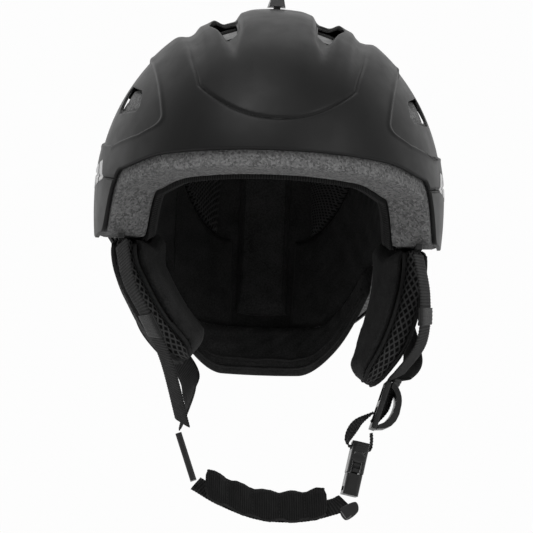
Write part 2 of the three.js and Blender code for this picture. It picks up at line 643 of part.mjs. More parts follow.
const acrossBack = () => vec(0, 1, 0);
const BUCKLE_STRAP_LINE = [
  vec(70.6, -10, -143), vec(61, -10, -150), vec(55.2, -10, -159.6), vec(56.4, -10, -164.5),
  vec(62.75, -10, -165.9), vec(69, -10, -167), vec(70.3, -10, -161.5), vec(70, -10, -156),
];
const LOOP_STRAP_WIDTH = 17;
const LOOP_STRAP_THICKNESS = 1.3;
const buckleLoop = ribbon(BUCKLE_STRAP_LINE, acrossBack, LOOP_STRAP_WIDTH, LOOP_STRAP_THICKNESS, 24);
addPart("buckle_strap", buckleLoop, WEBBING_FINISH);

// ---------------------------------------------------------------- chin strap and pad
const CHIN_LINE = [
  vec(-40.2, -11, -191.5), vec(-24, -13, -200), vec(0, -15, -208), vec(26, -15, -208.5), vec(46, -13, -203.5),
  vec(54.4, -11, -199.6),
];
const CHIN_WIDE = vec(0, 0.82, 0.57);
const CHIN_UP = vec(0, -0.57, 0.82);
const CHIN_PAD_THICKNESS = 8;
const CHIN_PAD_WIDTH = 34;
const chinStrap = ribbon(CHIN_LINE, () => CHIN_WIDE, WEBBING_WIDTH, WEBBING_THICKNESS, 14);
addPart("chin_strap", chinStrap, WEBBING_FINISH);
const padLift = (WEBBING_THICKNESS + CHIN_PAD_THICKNESS) / 2 + 3 * TOUCH_GAP;
const chinPadLine = CHIN_LINE.map((point) => point.clone().addScaledVector(CHIN_UP, padLift));
const chinPad = ribbon(chinPadLine, () => CHIN_WIDE, CHIN_PAD_WIDTH, CHIN_PAD_THICKNESS, 14, 0.07, 0.87);
addPart("chin_pad", chinPad, FLEECE_FINISH);
const TAIL_OUTLINE = [[-60, -199.5], [-62, -206], [-54, -212], [-50, -205]];
addPart("strap_tail", prism(TAIL_OUTLINE, "rear", -29, -27), WEBBING_FINISH);

// ---------------------------------------------------------------- fit dial
const DIAL_HEIGHT = -96.5;
const PINION_RADIUS = 4;
const BAND_DEPTH = 101.1;
const HOUSING = { width: 44, height: 21.8, depth: 7.4, middle: 101.9 };
const housingBlock = roundedSlab(HOUSING.width, HOUSING.height, HOUSING.depth, 5).rotateX(Math.PI / 2);
addPart("dial_housing", cutAway(placed(housingBlock, 0, HOUSING.middle, DIAL_HEIGHT), [
  box(60, 3, 16.6, 0, BAND_DEPTH, DIAL_HEIGHT),
  rod(4.6, 12, "y", 0, BAND_DEPTH + 6, DIAL_HEIGHT),
]), PLASTIC_FINISH);
addPart("fit_dial", joined([
  rod(12, 8, "y", 0, 110.1, DIAL_HEIGHT, 18),
  rod(PINION_RADIUS, 7.2, "y", 0, 103.5, DIAL_HEIGHT),
]), GREY_PLASTIC_FINISH);

const RACK_THICKNESS = 1.5;
const BAND_INSET = -7;
for (const [name, side] of SIDES) {
  const lift = side * (PINION_RADIUS + 2);
  const rack = box(30, RACK_THICKNESS, 3, side * 9, BAND_DEPTH, DIAL_HEIGHT + lift);
  const inHousing = [12, 18, 24].map((x) => vec(side * x, BAND_DEPTH, DIAL_HEIGHT));
  const roundHead = [156, 148, 140, 132].map((turn, i) => {
    const azimuth = degrees(turn) * side;
    const polar = polarAtHeight(innerPoint, azimuth, BAND_INSET, DIAL_HEIGHT + 3 * (i + 1));
    return innerPoint(azimuth, polar, BAND_INSET);
  });
  const strip = ribbon([...inHousing, ...roundHead], () => vec(0, 0, 1), 12, RACK_THICKNESS, 12);
  addPart(`fit_band_${name}`, strip.add(rack), PLASTIC_FINISH);
}

// ---------------------------------------------------------------- goggle clip
const CLIP = new THREE.Group();
CLIP.position.set(0, 141.6, -42);
CLIP.rotation.x = -degrees(9);
helmet.add(CLIP);
const CLIP_PIN = { y: 7, z: 13, radius: 1.2, clearance: 0.35 };
const LUG_X = 13;
const baseSolid = joined([
  box(32, 3, 34, 0, 1.5, 0),
  ...[1, -1].map((side) => box(3, 8.2, 6, side * LUG_X, 6, CLIP_PIN.z)),
]);
const pinHole = rod(CLIP_PIN.radius + CLIP_PIN.clearance, 60, "x", 0, CLIP_PIN.y, CLIP_PIN.z);
addPart("goggle_clip_base", baseSolid.subtract(pinHole), PLASTIC_FINISH, CLIP);
addPart("goggle_clip_pin", rod(CLIP_PIN.radius, 29, "x", 0, CLIP_PIN.y, CLIP_PIN.z), METAL_FINISH, CLIP);
addPart("goggle_clip_lever", joined([
  rod(3, 22, "x", 0, CLIP_PIN.y, CLIP_PIN.z),
  box(22, 3, 32, 0, 7.4, -3),
  box(22, 8, 2.4, 0, 4.9, -18.9),
]).subtract(pinHole), PLASTIC_FINISH, CLIP);

export default helmet;
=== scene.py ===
import math

import bmesh
import bpy
import numpy as np
from mathutils import Matrix, Vector


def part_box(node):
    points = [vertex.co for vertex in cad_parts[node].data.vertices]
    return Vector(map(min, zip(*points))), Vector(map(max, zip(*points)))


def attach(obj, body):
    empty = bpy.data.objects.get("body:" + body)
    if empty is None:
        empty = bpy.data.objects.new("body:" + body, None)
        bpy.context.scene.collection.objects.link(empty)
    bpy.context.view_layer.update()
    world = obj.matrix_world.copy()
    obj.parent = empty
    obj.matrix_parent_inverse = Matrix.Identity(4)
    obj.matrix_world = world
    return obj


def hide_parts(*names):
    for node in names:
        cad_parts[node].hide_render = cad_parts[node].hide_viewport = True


# Looks of a ski helmet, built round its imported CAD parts. Sizes are in millimetres in the row frame and are
# turned into metres where a mesh is made. The face looks along -Y, +Z is up and the wearer's left is +X.
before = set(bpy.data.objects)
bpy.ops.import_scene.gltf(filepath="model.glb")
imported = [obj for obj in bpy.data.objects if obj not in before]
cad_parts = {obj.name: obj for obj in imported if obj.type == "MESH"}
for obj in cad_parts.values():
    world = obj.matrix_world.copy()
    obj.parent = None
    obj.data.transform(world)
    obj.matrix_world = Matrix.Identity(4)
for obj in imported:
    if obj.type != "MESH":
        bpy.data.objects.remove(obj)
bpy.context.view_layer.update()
MM = 0.001
SIDES = (("left", 1), ("right", -1))

# ---------------------------------------------------------------- the helmet's form, as in the CAD source
CENTRE = np.array([0.0, 0.0, -10.0])
POWER = 2.05
OUTER = {"side": 113, "front": 138, "rear": 143, "rise": 124, "drop": 165}
INNER = {"side": 84, "front": 108, "rear": 110, "rise": 92, "drop": 165}
SHELL_THICKNESS = 2.5
SHELL_TO_FOAM_GAP = 0.8
PAD_GAP = 1.1
PAD_THICKNESS = 7


def smooth(x, low, high):
    t = np.clip((x - low) / (high - low), 0, 1)
    return t * t * (3 - 2 * t)


def direction(azimuth, polar):
    level = np.sin(polar)
    return np.stack([level * np.sin(azimuth), -level * np.cos(azimuth), np.cos(polar) + 0 * azimuth], -1)


def form_radius(form, d):
    along = np.where(d[..., 1] < 0, form["front"], form["rear"])
    up = np.where(d[..., 2] > 0, form["rise"], form["drop"])
    total = np.abs(d[..., 0] / form["side"]) ** POWER
    total += np.abs(d[..., 1] / along) ** POWER + np.abs(d[..., 2] / up) ** POWER
    return total ** (-1 / POWER)


def turn_of(azimuth):
    return np.abs(np.degrees(np.arctan2(np.sin(azimuth), np.cos(azimuth))))


def rim_height(azimuth):
    turn = turn_of(azimuth)
    temple = -4 * smooth(turn, 30, 50) - 35 * smooth(turn, 50, 66)
    return temple + 13 * smooth(turn, 78, 100) - 58 * smooth(turn, 108, 162)


def foam_rim_height(azimuth):
    return rim_height(azimuth) - 10 + 11 * smooth(turn_of(azimuth), 52, 70)


# ---------------------------------------------------------------- distances to outlines drawn on the shell
def to_polyline(x, y, points, closed=False):
    """Distance from each (x, y) to a line through points, and how far along the line the nearest point is."""
    ends = points[1:] + points[:1] if closed else points[1:]
    best = np.full(np.shape(x), 1e9)
    along = np.zeros(np.shape(x))
    run = 0.0
    for (ax, ay), (bx, by) in zip(points, ends):
        dx, dy = bx - ax, by - ay
        length = math.hypot(dx, dy)
        t = np.clip(((x - ax) * dx + (y - ay) * dy) / length**2, 0, 1)
        gap = np.hypot(x - ax - t * dx, y - ay - t * dy)
        along = np.where(gap < best, run + t * length, along)
        best = np.minimum(best, gap)
        run += length
    return best, along


def clipped(corners, clip):
    """The outline with its corners cut off, as the CAD source cuts them."""
    points = []
    for i, corner in enumerate(corners):
        here = np.array(corner, float)
        for other in (corners[i - 1], corners[(i + 1) % len(corners)]):
            step = np.array(other, float) - here
            points.append(tuple(here + step * clip / np.linalg.norm(step)))
    return points


VENT_CLIP = 3
FRONT_VENT = [(24.5, -80), (31.5, -92), (38, -75), (43, -58), (41, -47), (26, -49)]
MIDDLE_VENT = [(25, -14), (38, -16), (39, 26), (26, 22)]
BACK_VENT = [(25, 46), (38, 44), (35, 84), (25, 80)]
SIDE_VENTS = [[(-80, 33), (-73, 46), (-41, 56), (-46, 38)], [(-14, 42), (-8, 57), (29, 61), (25, 45)]]
REAR_VENTS = [[(13, 22), (36, 26), (33, 42), (14, 38)], [(12, -8), (32, -4), (33, 11), (13, 7)]]
KNOB_SLOT = [(-3, -41), (3, -41), (3, -14), (-3, -14)]
COVER_SEAM = [(-110, -20), (-76, -10), (0, 7), (40, 10), (46, 4), (46, -70)]
# Each vent: its outline, the two axes it is drawn in, the axis it is cut along, and the cut's reach.
VENTS = [(FRONT_VENT, 0, 1, 2, (20, 140))]
VENTS += [(vent, 0, 1, 2, (40, 140)) for vent in (MIDDLE_VENT, BACK_VENT)]
VENTS += [(vent, 1, 2, 0, (40, 130)) for vent in SIDE_VENTS]
VENTS += [(vent, 0, 2, 1, (70, 150)) for vent in REAR_VENTS]

PANEL_EDGE = 80.5
PANEL_LOW = [(-112, 22), (-92, 15), (-61, 13), (0, 26), (60, 44), (100, 62)]
ARC_ENDS = (19.5, 42, 47)
FOLD_LINE = [(47, 42), (49.5, 52), (53, 64), (56, 78), (57, 90)]


def arc_height(x):
    low, high, reach = ARC_ENDS
    return low + (high - low) * (np.abs(x) / reach) ** 2.2


ARC_LINE = [(x, float(arc_height(x))) for x in np.linspace(0, ARC_ENDS[2], 16)]
CREASE = ARC_LINE + FOLD_LINE[1:]
CREASE_LENGTH = sum(math.dist(a, b) for a, b in zip(CREASE, CREASE[1:]))
ARC_LENGTH = sum(math.dist(a, b) for a, b in zip(ARC_LINE, ARC_LINE[1:]))


def sideways(p):
    reach = np.minimum(1, np.abs(p[..., 1]) / 110)
    return np.abs(p[..., 0]) / (1 - 0.16 * reach**2)


def panel_distance(p):
    """How far inside the sunken side panel a point is, negative outside it, with rounded corners."""
    low = np.interp(p[..., 1], *zip(*PANEL_LOW))
    a, b = sideways(p) - PANEL_EDGE, (p[..., 2] - low) * 0.95
    blend = 7.0
    h = np.clip(0.5 + 0.5 * (b - a) / blend, 0, 1)
    return b * (1 - h) + a * h - blend * h * (1 - h)


def vent_distance(p):
    """Distance to the nearest vent's edge, negative inside a vent."""
    best = np.full(p.shape[:-1], 1e9)
    for corners, across, up, along, (near, _) in VENTS:
        outline = clipped(corners, VENT_CLIP)
        x = p[..., 1] if across == 1 else np.abs(p[..., 0])
        y = p[..., up]
        gap, _ = to_polyline(x, y, outline, closed=True)
        inside = np.zeros(x.shape, bool)
        for (ax, ay), (bx, by) in zip(outline, outline[1:] + outline[:1]):
            crosses = (ay > y) != (by > y)
            inside ^= crosses & (x < (bx - ax) * (y - ay) / (by - ay + 1e-12) + ax)
        signed = np.where(inside, -gap, gap)
        depth = np.abs(p[..., 0]) if along == 0 else p[..., along]
        facing = depth > near
        best = np.where(facing & (signed < best), signed, best)
    return best


def rib_height(s, p):
    """Ribs and valleys that run from front to back over the crown."""
    z, front = p[..., 2], p[..., 1] < 0
    arc = arc_height(np.minimum(np.abs(p[..., 0]), 60))
    fade = np.where(front, smooth(z, arc, arc + 48), smooth(z, -10, 45))
    # The vent channel starts as a sharp notch below the front vent and widens up to it.
    open_ = np.where(front, smooth(z, 57, 88), fade)
    half = 1.2 + 8.3 * open_
    channel = -4.6 * open_**0.8 * (1 - smooth(np.abs(s - 32), half * 0.35, half))
    middle = 1.2 * fade * (1 - smooth(s, 15, 25))
    second = -0.6 * fade * smooth(s, 40, 46)
    valley = -2.8 * fade * smooth(s, 49, 55.5) * (1 - smooth(s, 57.5, 64))
    third = 1.8 * fade * smooth(s, 58, 66)
    return middle + channel + second + valley + third


def relief(p):
    """Height of the shell's outer surface over the plain form."""
    s, ax = sideways(p), np.abs(p[..., 0])
    panel = panel_distance(p)
    height = rib_height(s, p)
    height += 0.45 * np.exp(-((panel + 0.9) / 0.9) ** 2) - 1.3 * smooth(panel, -0.3, 1.1)
    gap, along = to_polyline(ax, p[..., 2], CREASE)
    depth = 1.1 * (1 - smooth(along, ARC_LENGTH, CREASE_LENGTH))
    height -= np.where(p[..., 1] < -40, depth * np.exp(-((gap / 0.85) ** 2)), 0)
    seam, _ = to_polyline(p[..., 1], p[..., 2], COVER_SEAM)
    height -= np.where(ax > 60, 0.9 * np.exp(-((seam / 0.9) ** 2)), 0)
    lip = 1.5
    edge = np.clip(vent_distance(p), 0, lip)
    height -= lip - np.sqrt(lip**2 - (lip - edge) ** 2)
    return height


def near_detail(p):
    """Distance to the nearest fine line of the shell, which its mesh is refined by."""
    ax = np.abs(p[..., 0])
    gap, _ = to_polyline(ax, p[..., 2], CREASE)
    gap = np.where(p[..., 1] < -40, gap, 1e9)
    seam, _ = to_polyline(p[..., 1], p[..., 2], COVER_SEAM)
    seam = np.where(ax > 60, seam, 1e9)
    return np.minimum.reduce([gap, seam, np.abs(panel_distance(p)), np.abs(vent_distance(p) - 0.5)])


def outer_point(d, inset=0.0):
    radius = form_radius(OUTER, d)
    on_form = CENTRE + d * radius[..., None]
    return CENTRE + d * (radius + relief(on_form) - inset)[..., None]


def inner_point(azimuth, polar, inset):
    d = direction(azimuth, polar)
    return CENTRE + d * (form_radius(INNER, d) - inset)[..., None]


def polar_at_height(surface, azimuth, z):
    """The polar angle at which surface(azimuth, polar) comes down to height z."""
    low, high = np.full(np.shape(azimuth), 0.2), np.full(np.shape(azimuth), 2.6)
    for _ in range(26):
        middle = (low + high) / 2
        above = surface(azimuth, middle)[..., 2] > z
        low, high = np.where(above, middle, low), np.where(above, high, middle)
    return (low + high) / 2


def ripple(p, size, seed=0.0):
    """Smooth waves with no pattern to see, between about -1 and 1."""
    total = 0
    for k in range(5):
        a, b, c = math.sin(seed + 1.7 * k), math.cos(seed + 2.3 * k), math.sin(seed + 0.9 * k + 1)
        wave = (a * p[..., 0] + b * p[..., 1] + c * p[..., 2]) * (1 + 0.37 * k) * 2 * math.pi / size
        total = total + np.sin(wave + seed * (k + 1)) / 3
    return total


# ---------------------------------------------------------------- mesh making
SHARP_ANGLE = math.radians(40)


def grid_faces(rows, columns, wrap_rows=False, wrap_columns=False, start=0):
    i = np.arange(rows if wrap_rows else rows - 1)[:, None]
    j = np.arange(columns if wrap_columns else columns - 1)[None, :]
    i2, j2 = (i + 1) % rows, (j + 1) % columns
    quads = np.stack([i * columns + j, i2 * columns + j, i2 * columns + j2, i * columns + j2], -1)
    return (start + quads.reshape(-1, 4)).tolist()


def make(name, verts, faces, material, uvs=None):
    """A mesh object from points in millimetres. uvs holds one (u, v) in millimetres for each vertex."""
    mesh = bpy.data.meshes.new(name)
    mesh.from_pydata((np.asarray(verts, float).reshape(-1, 3) * MM).tolist(), [], faces)
    if uvs is not None:
        layer = mesh.uv_layers.new(name="UVMap")
        corners = np.zeros(len(mesh.loops), np.int32)
        mesh.loops.foreach_get("vertex_index", corners)
        layer.data.foreach_set("uv", np.asarray(uvs, np.float32).reshape(-1, 2)[corners].ravel())
    bm = bmesh.new()
    bm.from_mesh(mesh)
    bmesh.ops.recalc_face_normals(bm, faces=bm.faces)
    bm.to_mesh(mesh)
    bm.free()
    obj = bpy.data.objects.new(name, mesh)
    bpy.context.scene.collection.objects.link(obj)
    mesh.materials.append(material)
    mesh.shade_smooth()
    return obj


def merged(parts):
    """One list of points and one of faces from several."""
    verts, faces, start = [], [], 0
    for points, sides in parts:
        verts.append(points)
        faces += [[i + start for i in side] for side in sides]
        start += len(points)
    return np.concatenate(verts), faces


def sharpen(obj):
    """Smooth shading that leaves real edges sharp, for a mesh that has been cut."""
    obj.data.shade_smooth()
    obj.data.set_sharp_from_angle(angle=SHARP_ANGLE)


def place(obj, body, slot, *replaced, fill=None):
    """Hangs a piece on its body's empty and hides the CAD parts it replaces."""
    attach(obj, body)
    if replaced:
        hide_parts(*replaced)


def cut(obj, solids, operation="DIFFERENCE"):
    """Takes closed solids out of obj, or with INTERSECT keeps only what lies inside them."""
    cutter = make("cutter", *merged(solids), CUTTER_PAINT)
    step = obj.modifiers.new("boolean", "BOOLEAN")
    step.solver, step.operation, step.object = "FAST", operation, cutter
    graph = bpy.context.evaluated_depsgraph_get()
    mesh = bpy.data.meshes.new_from_object(obj.evaluated_get(graph), depsgraph=graph)
    old = obj.data
    obj.modifiers.clear()
    obj.data = mesh
    bpy.data.meshes.remove(old)
    mesh.name = obj.name
    bpy.data.objects.remove(cutter)


def prism(outline, across, up, along, near, far):
    """A closed prism of an outline drawn in two axes, for cutting."""
    count = len(outline)
    verts = np.zeros((2 * count, 3))
    for layer, depth in enumerate((near, far)):
        for k, (a, b) in enumerate(outline):
            verts[layer * count + k, [across, up, along]] = a, b, depth
    faces = [list(range(count)), list(range(2 * count - 1, count - 1, -1))]
    faces += [[k, (k + 1) % count, count + (k + 1) % count, count + k] for k in range(count)]
    return verts, faces


def vent_prisms():
    prisms = []
    for corners, across, up, along, (near, far) in VENTS:
        for side in (1, -1):
            outline = clipped(corners, VENT_CLIP)
            reach = (near, far)
            if across == 0:
                outline = [(side * a, b) for a, b in outline]
            else:
                reach = (side * near, side * far)
            prisms.append(prism(outline, across, up, along, *reach))
    return prisms


# ---------------------------------------------------------------- materials
CLOTH_SPECULAR = 0.15
WEB_PITCH = 1.9
WAVE_SCALE = math.pi / 10


class Paint:
    """A Principled material whose nodes are added by short calls. Scales are in millimetres."""

    def __init__(self, name, colour, roughness, **sockets):
        self.material = bpy.data.materials.new(name)
        self.material.use_nodes = True
        self.tree = self.material.node_tree
        self.shader = self.tree.nodes["Principled BSDF"]
        self.set("Base Color", (colour, colour, colour, 1))
        self.set("Roughness", roughness)
        self.set("Specular IOR Level", CLOTH_SPECULAR)
        for socket, value in sockets.items():
            self.set(socket.replace("_", " "), value)
        self.coords = self.node("ShaderNodeTexCoord")

    def node(self, kind, inputs=(), **props):
        node = self.tree.nodes.new(kind)
        for key, value in props.items():
            setattr(node, key, value)
        for key, value in dict(inputs).items():
            self.feed(node.inputs[key], value)
        return node

    def feed(self, socket, value):
        if isinstance(value, bpy.types.NodeSocket):
            self.tree.links.new(value, socket)
        else:
            socket.default_value = value

    def set(self, socket, value):
        self.feed(self.shader.inputs[socket], value)

    def place(self, size, kind="Object", stretch=(1, 1, 1), turn=0.0):
        """Coordinates that count one for every size millimetres. UVs are in millimetres already."""
        unit = (1 if kind == "UV" else 1000) / size
        scale = tuple(unit * s for s in stretch)
        inputs = {"Vector": self.coords.outputs[kind], "Scale": scale, "Rotation": (0, 0, turn)}
        return self.node("ShaderNodeMapping", inputs).outputs[0]

    def noise(self, size, detail=2.0, kind="Object", stretch=(1, 1, 1)):
        inputs = {"Vector": self.place(size, kind, stretch), "Scale": 1.0, "Detail": detail}
        return self.node("ShaderNodeTexNoise", inputs).outputs[0]

    def cells(self, size, output="Distance"):
        inputs = {"Vector": self.place(size), "Scale": 1.0}
        return self.node("ShaderNodeTexVoronoi", inputs).outputs[output]

    def waves(self, size, axis="Y", turn=0.0, warp=0.0):
        """Parallel ridges one size apart on the UVs."""
        inputs = {"Vector": self.place(size, "UV", turn=turn), "Scale": WAVE_SCALE, "Distortion": warp}
        return self.node("ShaderNodeTexWave", inputs, bands_direction=axis).outputs[1]

    def math(self, operation, a, b=0.0):
        node = self.node("ShaderNodeMath", operation=operation)
        self.feed(node.inputs[0], a)
        self.feed(node.inputs[1], b)
        return node.outputs[0]

    def ramp(self, value, low, high, out_low, out_high):
        inputs = {0: value, 1: low, 2: high, 3: out_low, 4: out_high}
        node = self.node("ShaderNodeMapRange")
        for key, item in inputs.items():
            self.feed(node.inputs[key], item)
        return node.outputs[0]

    def tint(self, value, dark, light):
        """Sets the colour between two greys by a value from 0 to 1."""
        node = self.node("ShaderNodeMix", data_type="RGBA")
        self.feed(node.inputs[0], value)
        for index, grey in ((6, dark), (7, light)):
            node.inputs[index].default_value = (grey, grey, grey, 1)
        self.set("Base Color", node.outputs[2])

    def mix(self, a, share_a, b, share_b):
        """The sum of two values, each times its share."""
        return self.math("ADD", self.math("MULTIPLY", a, share_a), self.math("MULTIPLY", b, share_b))

    def bump(self, height, depth):
        """Adds a bump of depth millimetres on top of those before it."""
        node = self.node("ShaderNodeBump", {"Height": height, "Distance": depth * MM, "Strength": 1.0})
        last = self.shader.inputs["Normal"]
        if last.is_linked:
            self.feed(node.inputs["Normal"], last.links[0].from_socket)
        self.set("Normal", node.outputs[0])


def make_shell_paint():
    paint = Paint("shell_soft_touch", 0.007, 0.46, Specular_IOR_Level=0.3)
    paint.tint(paint.noise(60, 3), 0.0055, 0.0085)
    paint.set("Roughness", paint.ramp(paint.noise(14, 4), 0.3, 0.7, 0.42, 0.52))
    paint.bump(paint.noise(0.5, 2), 0.012)
    paint.bump(paint.noise(9, 2), 0.02)
    return paint.material


def make_foam_paint():
    paint = Paint("foam_beads", 0.1, 0.85)
    beads = paint.cells(1.2, output="Color")
    spread = paint.node("ShaderNodeSeparateColor", {"Color": beads}).outputs[0]
    paint.tint(paint.mix(spread, 0.55, paint.noise(0.9, 3), 0.6), 0.015, 0.27)
    paint.bump(paint.cells(1.9), -0.35)
    paint.bump(paint.noise(0.7, 3), 0.12)
    return paint.material


def make_fleece_paint(name="brushed_fleece", dark=0.011, light=0.04, nap=0.35):
    paint = Paint(name, light, 0.95, Sheen_Weight=0.04, Sheen_Roughness=0.5)
    tuft = paint.mix(paint.noise(1.1, 4), 0.6, paint.noise(16, 3), 0.4)
    paint.tint(paint.ramp(tuft, 0.32, 0.68, 0.0, 1.0), dark, light)
    paint.bump(paint.noise(1.3, 4), nap)
    paint.bump(paint.noise(0.45, 3), nap * 0.4)
    return paint.material


def make_knit_paint(name, pitch, dark=0.008, light=0.03, depth=0.3, turn=0.0):
    """A ribbed knit whose ribs run across the UV's first axis, with painted shade in the valleys between the
    ribs.
    """
    paint = Paint(name, light, 0.9, Sheen_Weight=0.03, Sheen_Roughness=0.5)
    ribs = paint.waves(pitch, axis="X", turn=turn, warp=0.4)
    fuzz = paint.noise(0.8, 3)
    # The valleys between the ribs are painted darker than the rib tops: painted shade.
    paint.tint(paint.math("MULTIPLY", ribs, paint.ramp(fuzz, 0.25, 0.75, 0.5, 1.2)), dark, light)
    paint.bump(ribs, depth)
    paint.bump(fuzz, 0.15)
    return paint.material


def make_mesh_paint(name="spacer_mesh", pitch=2.6, dark=0.0015, light=0.045):
    """Spacer fabric: two sets of threads that cross and leave rows of diamond-shaped holes, with painted
    shade in the holes.
    """
    paint = Paint(name, light, 0.8, Sheen_Weight=0.03)
    leaning = [paint.waves(pitch, axis="X", turn=turn) for turn in (0.55, -0.55)]
    threads = paint.math("MAXIMUM", *leaning)
    threads_and_hole_shade = paint.ramp(threads, 0.55, 0.9, 0.0, 1.0)
    yarn = paint.noise(0.5, 2, kind="UV")
    # The holes between the threads are painted near black: painted shade inside the holes.
    paint.tint(paint.math("MULTIPLY", threads_and_hole_shade, paint.ramp(yarn, 0.2, 0.8, 0.55, 1.1)), dark, light)
    paint.bump(threads_and_hole_shade, 0.5)
    paint.bump(yarn, 0.12)
    return paint.material


def make_webbing_paint():
    """Woven strap: ribs across its length and fine yarns along it, with painted shade in the grooves between
    them.
    """
    paint = Paint("webbing", 0.045, 0.72, Sheen_Weight=0.03)
    weave_and_groove_shade = paint.mix(paint.waves(WEB_PITCH), 0.65, paint.waves(0.55, axis="X", warp=0.6), 0.35)
    wear = paint.ramp(paint.noise(5, 3), 0.3, 0.7, 0.8, 1.15)
    # The grooves between the ribs are painted darker than the rib tops: painted shade in the grooves.
    paint.tint(paint.math("MULTIPLY", weave_and_groove_shade, wear), 0.003, 0.045)
    paint.bump(weave_and_groove_shade, 0.16)
    return paint.material


def make_plastic_paint(name, colour, roughness):
    paint = Paint(name, colour, roughness, Specular_IOR_Level=0.5)
    paint.tint(paint.noise(20, 3), colour * 0.85, colour * 1.15)
    paint.set("Roughness", paint.ramp(paint.noise(6, 3), 0.3, 0.7, roughness - 0.05, roughness + 0.07))
    paint.bump(paint.noise(0.6, 2), 0.02)
    return paint.material


def make_metal_paint():
    paint = Paint("pin_steel", 0.5, 0.3, Metallic=1.0)
    paint.tint(paint.noise(8, 3), 0.4, 0.56)
    paint.set("Roughness", paint.ramp(paint.noise(2, 4, stretch=(0.1, 1, 1)), 0.3, 0.7, 0.22, 0.4))
    paint.bump(paint.noise(0.4, 2), 0.01)
    return paint.material


def make_satin_paint():
    paint = Paint("satin_band", 0.05, 0.42, Sheen_Weight=0.03)
    yarns = paint.waves(0.5, axis="X", warp=0.5)
    # The lines between the yarns are painted darker than the yarns: painted shade between them.
    paint.tint(paint.math("MULTIPLY", yarns, paint.ramp(paint.noise(4, 3), 0.3, 0.7, 0.7, 1.2)), 0.008, 0.04)
    paint.bump(yarns, 0.06)
    return paint.material


def make_print_paint():
    paint = Paint("white_print", 0.75, 0.5)
    paint.tint(paint.noise(3, 4), 0.6, 0.8)
    paint.bump(paint.noise(0.5, 2), 0.01)
    return paint.material


def make_floor_paint():
    paint = Paint("floor_pale", 0.8, 0.9)
    paint.tint(paint.noise(400, 2), 0.78, 0.84)
    return paint.material


def make_backdrop_paint():
    paint = Paint("backdrop_pale", 0.0, 1.0, Emission_Strength=1.0)
    paint.set("Emission Color", (0.98, 0.98, 0.98, 1))
    return paint.material


CUTTER_PAINT = bpy.data.materials.new("cutter")
SHELL_PAINT = make_shell_paint()
FOAM_PAINT = make_foam_paint()
FLEECE_PAINT = make_fleece_paint()
DARK_FLEECE_PAINT = make_fleece_paint("liner_fleece", 0.008, 0.03, 0.3)
PIPING_PAINT = make_fleece_paint("piping", 0.012, 0.034, 0.12)
THREAD_PAINT = make_fleece_paint("thread", 0.012, 0.03, 0.05)
KNIT_PAINT = make_knit_paint("brow_knit", 1.7)
CHIN_KNIT_PAINT = make_knit_paint("chin_knit", 1.5, 0.007, 0.02, 0.25)
MESH_PAINT = make_mesh_paint()
GUSSET_PAINT = make_mesh_paint("gusset_mesh", 3.4, 0.002, 0.075)
PANEL_PAINT = make_knit_paint("ribbed_panel", 2.6, 0.006, 0.04, 0.5, turn=0.8)
WEBBING_PAINT = make_webbing_paint()
SATIN_PAINT = make_satin_paint()
NYLON_PAINT = make_fleece_paint("nylon_lining", 0.02, 0.055, 0.1)
PLASTIC_PAINT = make_plastic_paint("black_plastic", 0.014, 0.32)
# Grey plastic for the dial ridges; the same light grey paints the highlight on the tail tab's lower edge.
GREY_PLASTIC_AND_HIGHLIGHT_PAINT = make_plastic_paint("grey_plastic", 0.18, 0.42)
METAL_PAINT = make_metal_paint()
PRINT_PAINT = make_print_paint()


# ---------------------------------------------------------------- shell
SHELL_COLUMNS = 320
SHELL_ROWS = 76
LIP_STEPS = (4.2, 3.2, 2.4, 1.7, 1.1, 0.6, 0.25, 0.0)
LIP_RADIUS = 1.2
MEAN_RADIUS = 125
COVER_REACH = (60, 130)
COVER_GAP = 0.45
SHELL_GAP = 0.05
SLOT_REACH = (90, 130)


